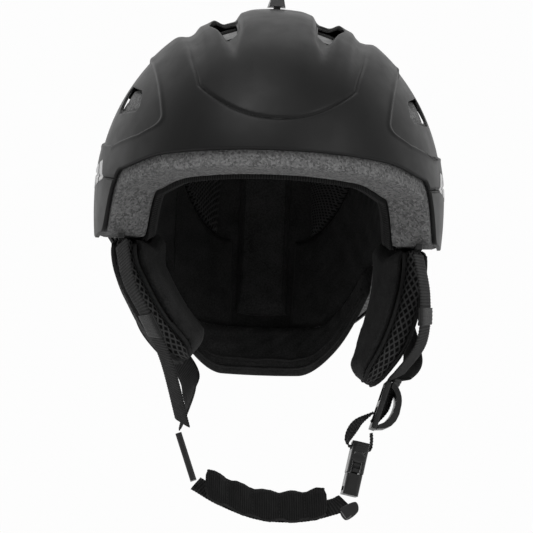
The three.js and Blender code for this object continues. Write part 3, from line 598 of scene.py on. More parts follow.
def shell_dome():
    """The whole shell as one closed mesh: a fine outer skin, a rounded lower lip and a plain inside."""
    azimuth = np.linspace(0, 2 * math.pi, SHELL_COLUMNS, endpoint=False)
    plain = lambda a, p: CENTRE + direction(a, p) * form_radius(OUTER, direction(a, p))[..., None]
    end = polar_at_height(plain, azimuth, rim_height(azimuth))
    lip = LIP_STEPS[0] / MEAN_RADIUS
    share = np.linspace(0, 1, SHELL_ROWS + 1)[1:] ** 0.93
    polar = [share_k * (end - lip) for share_k in share]
    polar += [end - step / MEAN_RADIUS for step in LIP_STEPS[1:]]
    rows = np.stack([direction(azimuth, p) for p in polar])
    bm = bmesh.new()
    near_rim = bm.verts.layers.int.new("near_rim")
    verts = [bm.verts.new(v) for v in rows.reshape(-1, 3)]
    pole = bm.verts.new((0, 0, 1))
    count, rings = SHELL_COLUMNS, len(polar)
    for a, b, c, d in grid_faces(rings, count, wrap_columns=True):
        bm.faces.new((verts[a], verts[b], verts[c], verts[d]))
    for j in range(count):
        bm.faces.new((pole, verts[j], verts[(j + 1) % count]))
    for k, v in enumerate(verts[(rings - 3) * count:]):
        v[near_rim] = k + 1
    for reach in (4.5, 1.7):
        refine(bm, reach, near_rim)
    bm.verts.index_update()
    outer = {v[near_rim]: v.index for v in bm.verts}
    outer = [outer[2 * count + j + 1] for j in range(count)]
    d = np.array([v.co for v in bm.verts])
    d /= np.linalg.norm(d, axis=1)[:, None]
    points = outer_point(d)
    low = rim_height(np.arctan2(d[:, 0], -d[:, 1]))
    edge = np.clip(points[:, 2] - low, 0, LIP_RADIUS)
    points -= d * (LIP_RADIUS - np.sqrt(LIP_RADIUS**2 - (LIP_RADIUS - edge) ** 2))[:, None]
    faces = [[v.index for v in f.verts] for f in bm.faces]
    bm.free()
    # The inside follows the same ribs with the fine lines left out.
    inner_rows = []
    for k in np.linspace(1, 0.04, 40):
        dk = direction(azimuth, end * k)
        inner_rows.append(smooth_outer(dk, SHELL_THICKNESS))
    lower = inner_rows[0].copy()
    lower[:, 2] = np.minimum(lower[:, 2], points[outer][:, 2])
    inner_rows[0] = lower
    inner = np.concatenate(inner_rows)
    base = len(points)
    faces += grid_faces(len(inner_rows), count, wrap_columns=True, start=base)
    faces += [[outer[j], outer[(j + 1) % count], base + (j + 1) % count, base + j] for j in range(count)]
    top = base + len(inner)
    cap = top - count
    faces += [[top, cap + j, cap + (j + 1) % count] for j in range(count)]
    centre = smooth_outer(np.array([[0.0, 0.0, 1.0]]), SHELL_THICKNESS)
    return np.concatenate([points, inner, centre]), faces


def smooth_outer(d, inset):
    radius = form_radius(OUTER, d)
    p = CENTRE + d * radius[..., None]
    return CENTRE + d * (radius + rib_height(sideways(p), p) - inset)[..., None]


def refine(bm, reach, near_rim):
    """Splits the faces whose middles lie within reach of the shell's fine lines."""
    faces = [f for f in bm.faces if not any(v[near_rim] for v in f.verts)]
    middles = np.array([f.calc_center_median() for f in faces])
    middles /= np.linalg.norm(middles, axis=1)[:, None]
    p = CENTRE + middles * form_radius(OUTER, middles)[:, None]
    close = near_detail(p) < reach
    chosen = {e for f, hit in zip(faces, close) if hit for e in f.edges}
    bmesh.ops.subdivide_edges(bm, edges=list(chosen), cuts=1, use_grid_fill=True)
    bmesh.ops.triangulate(bm, faces=[f for f in bm.faces if len(f.verts) > 4])


def cover_outline(gap):
    return [(-76, -10 - gap), (0, 7 - gap), (40, 10 - gap), (46 - gap, 4), (46 - gap, -70), (-100, -70)]


def copy_of(obj, name):
    twin = obj.copy()
    twin.data = obj.data.copy()
    twin.name = name
    bpy.context.scene.collection.objects.link(twin)
    return twin


def cover_block(side, gap):
    return [prism(cover_outline(gap), 1, 2, 0, *(side * reach for reach in COVER_REACH))]


def make_shell():
    verts, faces = shell_dome()
    shell = make("outer_shell_skin", verts, faces, SHELL_PAINT)
    cut(shell, vent_prisms() + [prism(clipped(KNOB_SLOT, 1.5), 0, 1, 2, *SLOT_REACH)])
    for name, side in SIDES:
        cover = copy_of(shell, f"cheek_cover_{name}_skin")
        cut(cover, cover_block(side, COVER_GAP), "INTERSECT")
        sharpen(cover)
        place(cover, "helmet", "shell", f"cheek_cover_{name}")
        cut(shell, cover_block(side, SHELL_GAP))
    sharpen(shell)
    place(shell, "helmet", "shell", "outer_shell")


# ---------------------------------------------------------------- stage
FLOOR_REACH = 20000
FLOOR_HEIGHT = -330
BACKDROP_AT = 2200
BACKDROP_TOP = 9000
WORLD_LIGHT = 0.24
# Each lamp: its name, place, width and power in watts.
LAMPS = (
    ("key", (-500, -1300, 1400), 900, 11),
    ("fill", (900, -1100, 500), 900, 4.5),
    ("top", (0, 300, 1500), 1200, 3),
)


def make_stage():
    scene = bpy.context.scene
    ends = [(-FLOOR_REACH, 0), (FLOOR_REACH, 0), (FLOOR_REACH, 1), (-FLOOR_REACH, 1)]
    corners = [(x, FLOOR_REACH * (2 * far - 1), FLOOR_HEIGHT) for x, far in ends]
    floor = make("floor", corners, [[0, 1, 2, 3]], make_floor_paint())
    corners = [(x, BACKDROP_AT, BACKDROP_TOP if high else FLOOR_HEIGHT) for x, high in ends]
    backdrop = make("backdrop", corners, [[0, 1, 2, 3]], make_backdrop_paint())
    world = bpy.data.worlds.new("studio")
    world.use_nodes = True
    world.node_tree.nodes["Background"].inputs[0].default_value = (1, 1, 1, 1)
    world.node_tree.nodes["Background"].inputs[1].default_value = WORLD_LIGHT
    scene.world = world
    scene.view_settings.view_transform = "Standard"
    for name, at, size, power in LAMPS:
        light = bpy.data.lights.new(name, "AREA")
        light.size, light.energy = size * MM, power
        lamp = bpy.data.objects.new(name, light)
        lamp.location = Vector(at) * MM
        lamp.rotation_mode = "QUATERNION"
        lamp.rotation_quaternion = (-Vector(at)).to_track_quat("-Z", "Y")
        scene.collection.objects.link(lamp)


CAMERA_AT = (-33.5, -1280, -226)
CAMERA_PITCH = math.radians(-2.19)
CAMERA_ROLL = math.radians(2.0)
SENSOR = 36
FOCAL = 134.882


def make_camera():
    camera = bpy.data.cameras.new("camera")
    camera.sensor_width, camera.lens = SENSOR, FOCAL
    camera.clip_start, camera.clip_end = 0.05, 100
    obj = bpy.data.objects.new("camera", camera)
    obj.location = Vector(CAMERA_AT) * MM
    aim = (-Vector(CAMERA_AT)).to_track_quat("-Z", "Y").to_matrix()
    turn = Matrix.Rotation(CAMERA_PITCH, 3, "X") @ Matrix.Rotation(CAMERA_ROLL, 3, "Z")
    obj.rotation_mode = "QUATERNION"
    obj.rotation_quaternion = (aim @ turn).to_quaternion()
    bpy.context.scene.collection.objects.link(obj)
    bpy.context.scene.camera = obj


# ---------------------------------------------------------------- curves, tubes and straps
def curve(points, count, closed=False):
    """count points, evenly spaced, on a smooth curve through the given ones, and their distances along it."""
    p = np.asarray(points, float)
    ends = (p[-1], p[:2]) if closed else (2 * p[0] - p[1], 2 * p[-1] - p[-2])
    p = np.vstack([ends[0], p, ends[1]])
    fine = []
    for k in range(1, len(p) - 2):
        t = np.linspace(0, 1, 24, endpoint=False)[:, None]
        a, b, c, d = p[k - 1:k + 3]
        bend = (2 * a - 5 * b + 4 * c - d) * t**2 + (3 * b - a - 3 * c + d) * t**3
        fine.append(0.5 * (2 * b + (c - a) * t + bend))
    fine = np.vstack([*fine, p[-2][None]])
    run = np.concatenate([[0], np.cumsum(np.linalg.norm(np.diff(fine, axis=0), axis=1))])
    at = np.linspace(0, run[-1], count)
    return np.stack([np.interp(at, run, fine[:, k]) for k in range(3)], -1), at


def unit(v):
    return v / np.maximum(np.linalg.norm(v, axis=-1, keepdims=True), 1e-9)


def along(points, shares):
    """Where shares from 0 to 1 fall on a list of evenly spaced points."""
    steps = np.linspace(0, 1, len(points))
    return np.stack([np.interp(shares, steps, points[:, i]) for i in range(points.shape[1])], -1)


def capped(rows, columns):
    """The faces of a body made of rings, with its two ends closed."""
    last = (rows - 1) * columns
    ends = [list(range(columns))[::-1], list(range(last, last + columns))]
    return grid_faces(rows, columns, wrap_columns=True) + ends


def tube_mesh(path, radius, sides=8):
    """Points and faces of a round tube along a path."""
    path = np.asarray(path, float)
    tangent = unit(np.gradient(path, axis=0))
    side = unit(np.cross(tangent[0], [0.31, 0.77, 0.55]))
    rings = []
    for point, t in zip(path, tangent):
        side = unit(side - t * side.dot(t))
        other = np.cross(t, side)
        angle = np.linspace(0, 2 * math.pi, sides, endpoint=False)[:, None]
        rings.append(point + radius * (np.cos(angle) * side + np.sin(angle) * other))
    return np.concatenate(rings), capped(len(path), sides)


def tube(name, path, radius, material):
    return make(name, *tube_mesh(path, radius), material)


def stitches(name, path, length=3.0, gap=1.3, radius=0.33, zigzag=0.0):
    """A row of thread stitches along a path; zigzag is how far each one leans up or down."""
    path = np.asarray(path, float)
    run = np.concatenate([[0], np.cumsum(np.linalg.norm(np.diff(path, axis=0), axis=1))])
    parts = []
    for k in range(int(run[-1] / (length + gap))):
        at = np.linspace(k * (length + gap), k * (length + gap) + length, 4)
        line = np.stack([np.interp(at, run, path[:, i]) for i in range(3)], -1)
        line[:, 2] += zigzag * (1 if k % 2 else -1) * np.linspace(-0.5, 0.5, 4)
        parts.append(tube_mesh(line, radius, 5))
    return make(name, *merged(parts), THREAD_PAINT)


def ribbon(name, points, wide, width, thickness, material, pitch=WEB_PITCH, rib=0.3, span=(0.0, 1.0)):
    """Woven webbing on a curve, ribbed across, with rounded selvedges. wide(t) is its width's direction."""
    share = span[1] - span[0]
    total = curve(points, 200)[1][-1] * share
    count = max(8, int(total / pitch * 4))
    line, run = curve(points, 2000)
    t = np.linspace(*span, count)
    centre = along(line, t)
    tangent = unit(np.gradient(centre, axis=0))
    across = np.array([wide(k) for k in t], float)
    across = unit(across - tangent * (across * tangent).sum(-1, keepdims=True))
    off = np.cross(tangent, across)
    shares = np.sin(np.linspace(-math.pi / 2, math.pi / 2, 11))
    profile = np.sqrt(np.maximum(0, 1 - np.abs(shares) ** 6))
    ring = list(zip(shares, profile)) + list(zip(shares[-2:0:-1], -profile[-2:0:-1]))
    half = thickness / 2 * (1 + rib * np.cos(2 * math.pi * t * total / share / pitch))
    verts = np.stack([centre + across * a * width / 2 + off * (h * half)[:, None] for a, h in ring], 1)
    shape = (count, len(ring))
    over = np.broadcast_to([a * width / 2 for a, _ in ring], shape)
    uvs = np.stack([over, np.broadcast_to((t * run[-1])[:, None], shape)], -1)
    return make(name, verts, capped(*shape), material, uvs)


# ---------------------------------------------------------------- padded pieces
EDGE_SHARE = 0.14


def edge_distances(front):
    """Each grid point's distance to the nearest border of the grid, in millimetres."""
    rows = np.linalg.norm(np.diff(front, axis=0), axis=-1)
    columns = np.linalg.norm(np.diff(front, axis=1), axis=-1)
    down = np.vstack([np.zeros((1, front.shape[1])), np.cumsum(rows, 0)])
    over = np.hstack([np.zeros((front.shape[0], 1)), np.cumsum(columns, 1)])
    return np.minimum.reduce([down, down[-1] - down, over, over[:, -1:] - over]), down, over


def close_sheets(front, back):
    """One closed body from two grids that share their border's shape."""
    n, m = front.shape[:2]
    size = n * m
    faces = grid_faces(n, m) + [f[::-1] for f in grid_faces(n, m, start=size)]
    border = [i * m for i in range(n)] + [(n - 1) * m + j for j in range(1, m)]
    border += [i * m + m - 1 for i in range(n - 2, -1, -1)] + [j for j in range(m - 2, 0, -1)]
    for a, b in zip(border, border[1:] + border[:1]):
        faces.append([a, b, b + size, a + size])
    return np.concatenate([front.reshape(-1, 3), back.reshape(-1, 3)]), faces


def liner_pad(name, turns, top, bottom, material, size, thickness=PAD_THICKNESS, edge=6.0, wrinkle=0.35):
    """A padded patch on the inner form and the grid of its front. top and bottom give its polar angles."""
    azimuth = np.radians(np.linspace(*turns, size[0]))[:, None]
    high, low = top(azimuth), bottom(azimuth)
    azimuth = azimuth + np.zeros((1, size[1]))
    polar = high + (low - high) * np.linspace(0, 1, size[1])[None, :]
    flat = inner_point(azimuth, polar, PAD_GAP)
    gap, down, over = edge_distances(flat)
    near = np.clip(gap / edge, 0, 1)
    puff = np.sqrt(1 - (1 - near) ** 2) * 0.8 + 0.2 * smooth(gap, 0, 26)
    lift = thickness * (EDGE_SHARE + (1 - EDGE_SHARE) * puff) + wrinkle * near * ripple(flat, 34, len(name))
    lift = np.minimum(lift, thickness + 0.4)
    front = inner_point(azimuth, polar, PAD_GAP + lift)
    verts, faces = close_sheets(front, flat)
    uvs = np.stack([down, over], -1).reshape(-1, 2)
    obj = make(name, verts, faces, material, np.concatenate([uvs, uvs]))
    return obj, front


def inner_height(height):
    surface = lambda a, p: inner_point(a, p, PAD_GAP)
    return lambda azimuth: polar_at_height(surface, azimuth, height(azimuth))


CROWN_LOW = 28
STRIP_HALF = 18
STRIP_GAP = 2.2
BROW_REACH = 69
LINER_BOTTOM = -79
BACKING_BOTTOM = -82


def crown_low(azimuth):
    return CROWN_LOW - 44 * smooth(np.abs(azimuth), math.radians(130), math.radians(166))


def liner_low(azimuth):
    return np.maximum(rim_height(azimuth), LINER_BOTTOM)


def beside_strip(azimuth):
    reach = form_radius(INNER, direction(azimuth, 0.9 + 0 * azimuth))
    return np.arcsin(np.minimum(0.99, (STRIP_HALF + STRIP_GAP) / (reach * np.abs(np.sin(azimuth)))))


def make_backing():
    """The dark cloth that covers the foam between the pads."""
    azimuth = np.linspace(-math.pi, math.pi, 180, endpoint=False)
    end = inner_height(lambda a: np.maximum(foam_rim_height(a) + 3, BACKING_BOTTOM))(azimuth)
    shares = np.linspace(0.03, 1, 60)[:, None]
    sheets = [inner_point(azimuth + 0 * shares, end * shares, base) for base in (0.95, 0.35)]
    rows = np.concatenate([sheets[0], sheets[1][::-1]])
    faces = grid_faces(120, 180, True, True)
    place(make("liner_backing", rows, faces, DARK_FLEECE_PAINT), "helmet", "fleece")


def make_liner():
    for name, side in SIDES:
        turns = (24, 162) if side > 0 else (-162, -24)
        pad, _ = liner_pad(f"crown_mesh_pad_{name}", turns, beside_strip, inner_height(crown_low), MESH_PAINT,
                           size=(90, 50), edge=4.0)
        place(pad, "helmet", "mesh", f"crown_mesh_{name}", fill=0.4)
        turns = (71, 168) if side > 0 else (-168, -71)
        high = inner_height(lambda a: crown_low(a) - STRIP_GAP)
        pad, front = liner_pad(f"side_fleece_{name}", turns, high, inner_height(liner_low), DARK_FLEECE_PAINT,
                               size=(90, 44), edge=7.0, wrinkle=0.6)
        place(pad, "helmet", "fleece", f"side_liner_{name}", fill=0.5)
        seam = front[12:-6, 3]
        place(stitches(f"side_seam_{name}", seam, zigzag=3.2), "helmet", "fleece")
        column = front[30, 3:-3]
        place(tube(f"side_piping_{name}", column, 0.7, DARK_FLEECE_PAINT), "helmet", "fleece")
    make_backing()
    make_crown_strip()
    low = inner_height(lambda a: foam_rim_height(a) - 2)
    high = inner_height(lambda a: foam_rim_height(a) + 26)
    brow, front = liner_pad("brow_knit_pad", (-BROW_REACH, BROW_REACH), high, low, KNIT_PAINT, size=(150, 26),
                            edge=5.5, wrinkle=0.3)
    place(brow, "helmet", "fleece", "brow_pad", fill=0.6)
    place(tube("brow_piping", front[:, -3], 1.1, PIPING_PAINT), "helmet", "fleece")
    place(stitches("brow_stitches", front[2:-2, -6]), "helmet", "fleece")
    roll_high = inner_height(lambda a: liner_low(a) - STRIP_GAP)
    roll_low = inner_height(lambda a: rim_height(a) - 19 - 11 * smooth(turn_of(a), 118, 142))
    roll, front = liner_pad("neck_fleece_roll", (124, 236), roll_high, roll_low, FLEECE_PAINT, size=(110, 24),
                            thickness=8.4, edge=8.0, wrinkle=0.9)
    place(roll, "helmet", "fleece", "neck_roll", fill=0.6)
    for k, row in enumerate((-2, -5)):
        place(tube(f"neck_piping_{k}", front[2:-2, row], 1.0, PIPING_PAINT), "helmet", "fleece")
    place(stitches("neck_seam", front[4:-4, 3], zigzag=3.0), "helmet", "fleece")


def make_crown_strip():
    angles = np.radians(np.linspace(-71, 121, 130))[:, None]
    shares = np.linspace(-1, 1, 27)[None, :]
    middle = np.stack([0 * angles, np.sin(angles), np.cos(angles)], -1)
    reach = form_radius(INNER, middle)
    over = shares * STRIP_HALF / reach
    d = unit(middle + np.stack([over, 0 * over, 0 * over], -1))
    flat = CENTRE + d * (form_radius(INNER, d) - PAD_GAP)[..., None]
    gap, down, _ = edge_distances(flat)
    near = np.clip(gap / 6, 0, 1)
    puff = np.sqrt(1 - (1 - near) ** 2)
    lift = PAD_THICKNESS * (EDGE_SHARE + (1 - EDGE_SHARE) * puff) + 0.5 * near * ripple(flat, 40, 5)
    # Sewn channels divide the strip into three cushions.
    for at in (0.36, 0.68):
        lift -= 2.2 * np.exp(-(((down / down[-1] - at) * down[-1] / 2.4) ** 2)) * near
    front = CENTRE + d * (form_radius(INNER, d) - PAD_GAP - np.minimum(lift, PAD_THICKNESS + 0.3))[..., None]
    verts, faces = close_sheets(front, flat)
    strip = make("crown_fleece_strip", verts, faces, FLEECE_PAINT)
    place(strip, "helmet", "fleece", "crown_strip", fill=0.6)
    for k, column in enumerate((2, -3)):
        place(tube(f"strip_piping_{k}", front[3:-3, column], 0.65, DARK_FLEECE_PAINT), "helmet", "fleece")


VENT_RECESS = 2.5
SIDE_VENT_FILL = 3.0
SIDE_VENTS_FROM = 60
CROWN_FOAM_INSET = 3.6
# Short moulded dashes along the foam's edge: the middle and half length of each, in degrees of turn.
DASHES = ((2, 7), (24, 6), (-26, 4), (-44, 5), (44, 4))
DASH_DEPTH = 1.3
# Windows below the front vents, and the pocket that the vent shutter slides in.
WINDOW_X = (24.5, 35.5)
WINDOW_ROWS = (-86, -62)
WINDOW_LENGTH = 11
WINDOW_REACH = (20, 140)
SLIDER_AXIS = np.array([0, 0, -39.0])
SLIDER_RADIUS = 153
POCKET_HALF = 45
POCKET_ANGLES = (-42.5, -3)
POCKET_DEPTHS = (-10, 10.4)


def foam_outer(d):
    radius = form_radius(OUTER, d)
    height = CENTRE[2] + d[..., 2] * radius
    inset = SHELL_THICKNESS + SHELL_TO_FOAM_GAP + CROWN_FOAM_INSET * smooth(height, -15, 35)
    # The CAD cuts the foam through at the vents. To keep light out it is recessed under the crown and rear
    # vents here, and comes up into the side vents. The windows under the front vents are still cut, later on.
    p = CENTRE + d * radius[..., None]
    change = np.where(np.abs(p[..., 0]) > SIDE_VENTS_FROM, -SIDE_VENT_FILL, VENT_RECESS)
    inset = inset + change * smooth(-vent_distance(p), -3, 1)
    return CENTRE + d * (radius - inset)[..., None]


def make_foam():
    """The foam liner, with a rounded lower edge and short moulded dashes along it."""
    columns = 300
    azimuth = np.linspace(0, 2 * math.pi, columns, endpoint=False)
    low = foam_rim_height(azimuth)
    outer_end = polar_at_height(lambda a, p: foam_outer(direction(a, p)), azimuth, low)
    inner_end = polar_at_height(lambda a, p: inner_point(a, p, 0), azimuth, low)
    shares = np.concatenate([np.linspace(0.04, 0.9, 70), np.linspace(0.91, 1, 22)])
    rows = [foam_outer(direction(azimuth, outer_end * k)) for k in shares]
    inner = [inner_point(azimuth, inner_end * k, 0) for k in shares[::-1]]
    bottom = [rows[-1] + (inner[0] - rows[-1]) * k for k in np.linspace(0.04, 0.96, 16)]
    everything = np.stack(rows + bottom + inner)
    # The sharp lower edges are rounded by averaging neighbouring rows there.
    first, last = len(rows) - 3, len(rows) + len(bottom) + 2
    for _ in range(8):
        for k in (len(rows) - 1, len(rows), len(rows) + len(bottom) - 1, len(rows) + len(bottom)):
            everything[k] = (everything[k - 1] + everything[k] * 2 + everything[k + 1]) / 4
    turn = np.degrees(np.arctan2(np.sin(azimuth), np.cos(azimuth)))
    dash = np.zeros(columns)
    for middle, reach in DASHES:
        dash = np.maximum(dash, 1 - smooth(np.abs(turn - middle), reach - 1, reach))
    everything[len(rows) + 1, :, 2] += DASH_DEPTH * dash
    everything[first:last] += 0.12 * ripple(everything[first:last], 7, 3)[..., None] * [0, 0, 1]
    rings = len(everything)
    poles = [foam_outer(np.array([[0, 0, 1.0]])), [[0, 0, CENTRE[2] + INNER["rise"]]]]
    verts = np.concatenate([everything.reshape(-1, 3), *poles])
    faces = grid_faces(rings, columns, wrap_columns=True)
    top, under = rings * columns, rings * columns + 1
    last_ring = (rings - 1) * columns
    faces += [[top, j, (j + 1) % columns] for j in range(columns)]
    faces += [[under, last_ring + (j + 1) % columns, last_ring + j] for j in range(columns)]
    foam = make("foam_liner_beads", verts, faces, FOAM_PAINT)
    cut(foam, window_prisms())
    cut(foam, [slider_pocket()])
    sharpen(foam)
    place(foam, "helmet", "foam", "foam_liner")


def slider_pocket():
    x = np.linspace(-POCKET_HALF, POCKET_HALF, 24)[:, None]
    drop = 1.05 * OUTER["rise"] * (1 - (1 - np.abs(x / OUTER["side"]) ** POWER) ** (1 / POWER))
    angle = np.radians(np.linspace(*POCKET_ANGLES, 20))[None, :]
    sheets = []
    for depth in POCKET_DEPTHS:
        radius = SLIDER_RADIUS - drop - depth
        sheet = np.stack([x + 0 * angle, radius * np.sin(angle), radius * np.cos(angle)], -1)
        sheets.append(sheet + SLIDER_AXIS)
    return close_sheets(*sheets)


def window_prisms():
    low, high = WINDOW_X
    prisms = []
    for side in (1, -1):
        for row in WINDOW_ROWS:
            corners = [(low, row), (high, row), (high, row + WINDOW_LENGTH), (low, row + WINDOW_LENGTH)]
            prisms.append(prism([(side * x, y) for x, y in corners], 0, 1, 2, *WINDOW_REACH))
    return prisms


# ---------------------------------------------------------------- ear pads
EAR_LINES = {
    "left": [(88, 2, -14), (91, 2, -50), (87, 1, -78), (79, -1, -102), (66, -4, -124)],
    "right": [(-88, 2, -14), (-89, 2, -50), (-80, 1, -72), (-66, -1, -94), (-48, -4, -112)],
}
EAR_WIDTHS = [66, 74, 76, 74, 64, 34]
EAR_LENGTH = 125
# The fleece is fuller than the CAD's 13 mm, as the photo shows it. The sewn line's depth comes from the CAD's
# thinner pad, so the fleece hides it.
SEAM_DEPTH = 13
FLEECE_FULL = {"left": 23, "right": 27}
TIP_THINNING = {"left": 0.25, "right": 0.1}
TIP_SHARE = 0.07
RIPPLE_SEEDS = {"left": 2, "right": 4}
PANEL_DEPTHS = (-8.4, -10.3)
BINDING_DEPTH = -8.6
GUSSET_IN = 5
BACK_DEPTH = 9
LAYER_GAP = 0.175


def azimuth_of(x, y):
    return np.arctan2(x, -y)


def ear_frame(name, t):
    """Place, inward direction and half width of an ear pad at share t of its line."""
    line, _ = curve(EAR_LINES[name], 400)
    t = np.asarray(t)
    slope = unit(along(unit(np.gradient(line, axis=0)), t))
    inward = unit(np.cross([0.0, 1.0, 0.0], slope) * dict(SIDES)[name])
    half = np.interp(t, np.linspace(0, 1, 6), EAR_WIDTHS) / 2
    left = np.clip((1 - t) / TIP_SHARE, 0, 1)
    return along(line, t), inward, half * np.sqrt(left * (2 - left))


def tip_depth(t, name):
    """How thick a pad is at t, as a share of its full thickness: it thins and then rounds off at its tip."""
    near = np.clip((t - 0.92) / 0.08, 0, 1)
    return (1 - TIP_THINNING[name] * smooth(t, 0.7, 1)) * np.sqrt(np.maximum(0.002, 1 - near**2))


def ear_body(name, low, high, shrink, power, slope=0.0, seed=0):
    """A rounded body between two depths on the ear pad's line. low and high are signed, towards the head."""
    rows, columns = 64, 56
    theta = np.linspace(0, 2 * math.pi, columns, endpoint=False)
    across = np.sign(np.cos(theta)) * np.abs(np.cos(theta)) ** (2 / power)
    deep = 0.5 + 0.5 * np.sign(np.sin(theta)) * np.abs(np.sin(theta)) ** (2 / power)
    # The side towards the head slopes, thin at the front edge and full behind it.
    deep = deep * (1 - slope * (0.5 - 0.5 * across))
    top = rim_height(azimuth_of(90, 38 * across)) - 2.0
    line_z = curve(EAR_LINES[name], 400)[0][:, 2]
    start = np.interp(-top, -line_z, np.linspace(0, 1, 400))
    round_end = 1 - 0.15 * np.cos(np.linspace(0, math.pi / 2, 17)[1:])
    share = np.concatenate([np.linspace(0, 0.85, rows - 16), round_end])
    t = start[None, :] + (0.9995 - start[None, :]) * share[:, None]
    at, inward, half = ear_frame(name, t)
    depth = (low + (high - low) * deep[None, :]) * tip_depth(t, name)
    edge = np.clip(share / 0.06, 0, 1)[:, None]
    depth = np.where(np.abs(depth) > LAYER_GAP, depth * (0.7 + 0.3 * np.sqrt(edge)), depth)
    verts = at + inward * depth[..., None]
    verts[..., 1] += (half - shrink * np.minimum(1, half / 10)) * across[None, :]
    if seed:
        dent = np.abs(0.55 * ripple(verts, 22, seed) * np.sin(theta)[None, :])
        verts -= inward * np.where(deep[None, :] > 0.5, dent, 0)[..., None]
    verts[..., 2] = np.minimum(verts[..., 2], top[None, :])
    girth = np.concatenate([[0], np.cumsum(np.linalg.norm(np.diff(verts[rows // 2], axis=0), axis=1))])
    uvs = np.stack([np.broadcast_to(girth[None, :], t.shape), EAR_LENGTH * t], -1)
    return verts, capped(rows, columns), uvs


def ear_edge(name, depth, out, low_t=0.0):
    """The outline of an ear pad, down its front edge, round the tip and up its back edge."""
    edge = np.linspace(0, math.pi, 110)
    t = 1 - (1 - low_t) * np.abs(np.cos(edge))
    at, inward, half = ear_frame(name, np.minimum(t, 0.998))
    path = at + inward * (depth * tip_depth(t, name))[:, None]
    path[:, 1] += np.where(edge < math.pi / 2, -1, 1) * (half + out)
    return path[path[:, 2] < rim_height(azimuth_of(path[:, 0], path[:, 1])) - 3.5]


def make_ear_pads():
    for name, _ in SIDES:
        fleece = ear_body(name, GUSSET_IN - LAYER_GAP, FLEECE_FULL[name], 1.6, 2.5, 0.5, RIPPLE_SEEDS[name])
        gusset = ear_body(name, GUSSET_IN, -BACK_DEPTH, 0.8, 4.5)
        panel = ear_body(name, *PANEL_DEPTHS, 3.0, 5)
        pad = make(f"ear_fleece_{name}", *fleece[:2], FLEECE_PAINT, fleece[2])
        place(pad, "helmet", "fleece", f"ear_pad_{name}", fill=0.7)
        back = make(f"ear_gusset_{name}", *gusset[:2], GUSSET_PAINT, gusset[2])
        place(back, "helmet", "mesh", f"ear_pad_back_{name}", fill=0.5)
        outside = make(f"ear_panel_{name}", *panel[:2], PANEL_PAINT, panel[2])
        place(outside, "helmet", "fleece")
        piping = tube(f"ear_piping_{name}", ear_edge(name, GUSSET_IN + 0.3, -0.4), 1.15, PIPING_PAINT)
        place(piping, "helmet", "fleece")
        binding = tube(f"ear_binding_{name}", ear_edge(name, BINDING_DEPTH, -1.2), 1.0, DARK_FLEECE_PAINT)
        place(binding, "helmet", "fleece")
        edge = ear_edge(name, GUSSET_IN + 3.5, -1.1, low_t=0.1)
        place(stitches(f"ear_stitches_{name}", edge, 2.6, 1.6, 0.28), "helmet", "fleece")
        make_ear_seam(name)
    make_lining_patch()


def make_ear_seam(name):
    """A sewn line inside the fleece, a fixed share of its width in from its edge. It doesn't show."""
    edge = np.linspace(0.0, math.pi, 90)
    t = 1 - 0.75 * np.abs(np.cos(edge)) - 0.05
    at, inward, half = ear_frame(name, t)
    front = edge < math.pi / 2
    path = at + inward * (SEAM_DEPTH * np.where(front, 0.72, 1.0) * tip_depth(t, name))[:, None]
    spread = np.sin(np.clip(np.abs(np.cos(edge)) * 3, 0, 1) * math.pi / 2)
    path[:, 1] += np.where(front, -1, 1) * spread * (half * 0.72)
    place(stitches(f"ear_seam_{name}", path, 2.8, 1.5, 0.3), "helmet", "fleece")


PATCH_SPAN = (0.8, 0.985)


def make_lining_patch():
    """The wrinkled nylon patch near the tip of the wearer's right pad."""
    low, high = PATCH_SPAN
    columns = 30
    t = np.linspace(low, high, 34)[:, None] + np.zeros((1, columns))
    share = np.linspace(-0.94, 0.5, columns)[None, :]
    at, inward, half = ear_frame("right", t)
    cut_depth = tip_depth(t, "right")
    inside = np.minimum(1, np.minimum(t - low, high - t) / 0.02) * np.minimum(1, (1 - np.abs(share)) / 0.1)
    wave = 0.7 * np.sin(t * 95 + share * 3.2) + 0.5 * ripple(at + share[..., None] * [0, 30, 0], 9, 6)
    dome = np.sqrt(np.maximum(0, 1 - np.abs(share) ** 3.2)) * (0.75 + 0.25 * share)
    sheets = []
    for lift in (1.0, 0.0):
        depth = (FLEECE_FULL["right"] * dome - 0.6) * cut_depth + lift * (0.9 + wave * inside * 0.6)
        points = at + inward * depth[..., None]
        points[..., 1] += share * (half - 1.6)
        sheets.append(points)
    place(make("ear_lining_patch", *close_sheets(*sheets), NYLON_PAINT), "helmet", "fleece")


# ---------------------------------------------------------------- straps
FRONT_STRAPS = {
    "left": [(93, -50, -46), (98, -50, -72), (97, -44, -100), (84, -22, -120.5)],
    "right": [(-92, -50, -46), (-86, -54, -70), (-74, -52, -92), (-61, -40, -118), (-50, -16, -154)],
}
REAR_STRAPS = {
    "left": [(88, 53, -49), (96, 46, -78), (98, 24, -106), (88, 2, -120.5)],
    "right": [(-85, 53, -49), (-76, 48, -84), (-50, 28, -116), (-46, 10, -134), (-50, -6, -153)],
}
# The buckle's short loop, as (x, z) points on one level in y, and the webbing through the left divider.
BUCKLE_LINE = [(70.6, -143), (61, -150), (55.2, -159.6), (56.4, -164.5), (62.75, -165.9), (69, -167)]
BUCKLE_LINE += [(70.3, -161.5), (70, -156)]
BUCKLE_LEVEL = -10
DIVIDER_LINE = [(86.5, -12, -121), (81.5, -10, -131), (78, -10, -141), (70.5, -10, -150)]
WEB_WIDTH = 18
WEB_THICK = 1.6
LOOP_SPAN = (0.38, 0.5)


def rear_wide(t, side):
    """The rear straps' width direction. The right one twists edge-on towards its lower end."""
    if side > 0:
        return (-0.3, 0.9, 0.3)
    return (-0.9 + 0.8 * float(smooth(t, 0.55, 0.95)), 0.35 + t, 0.1)


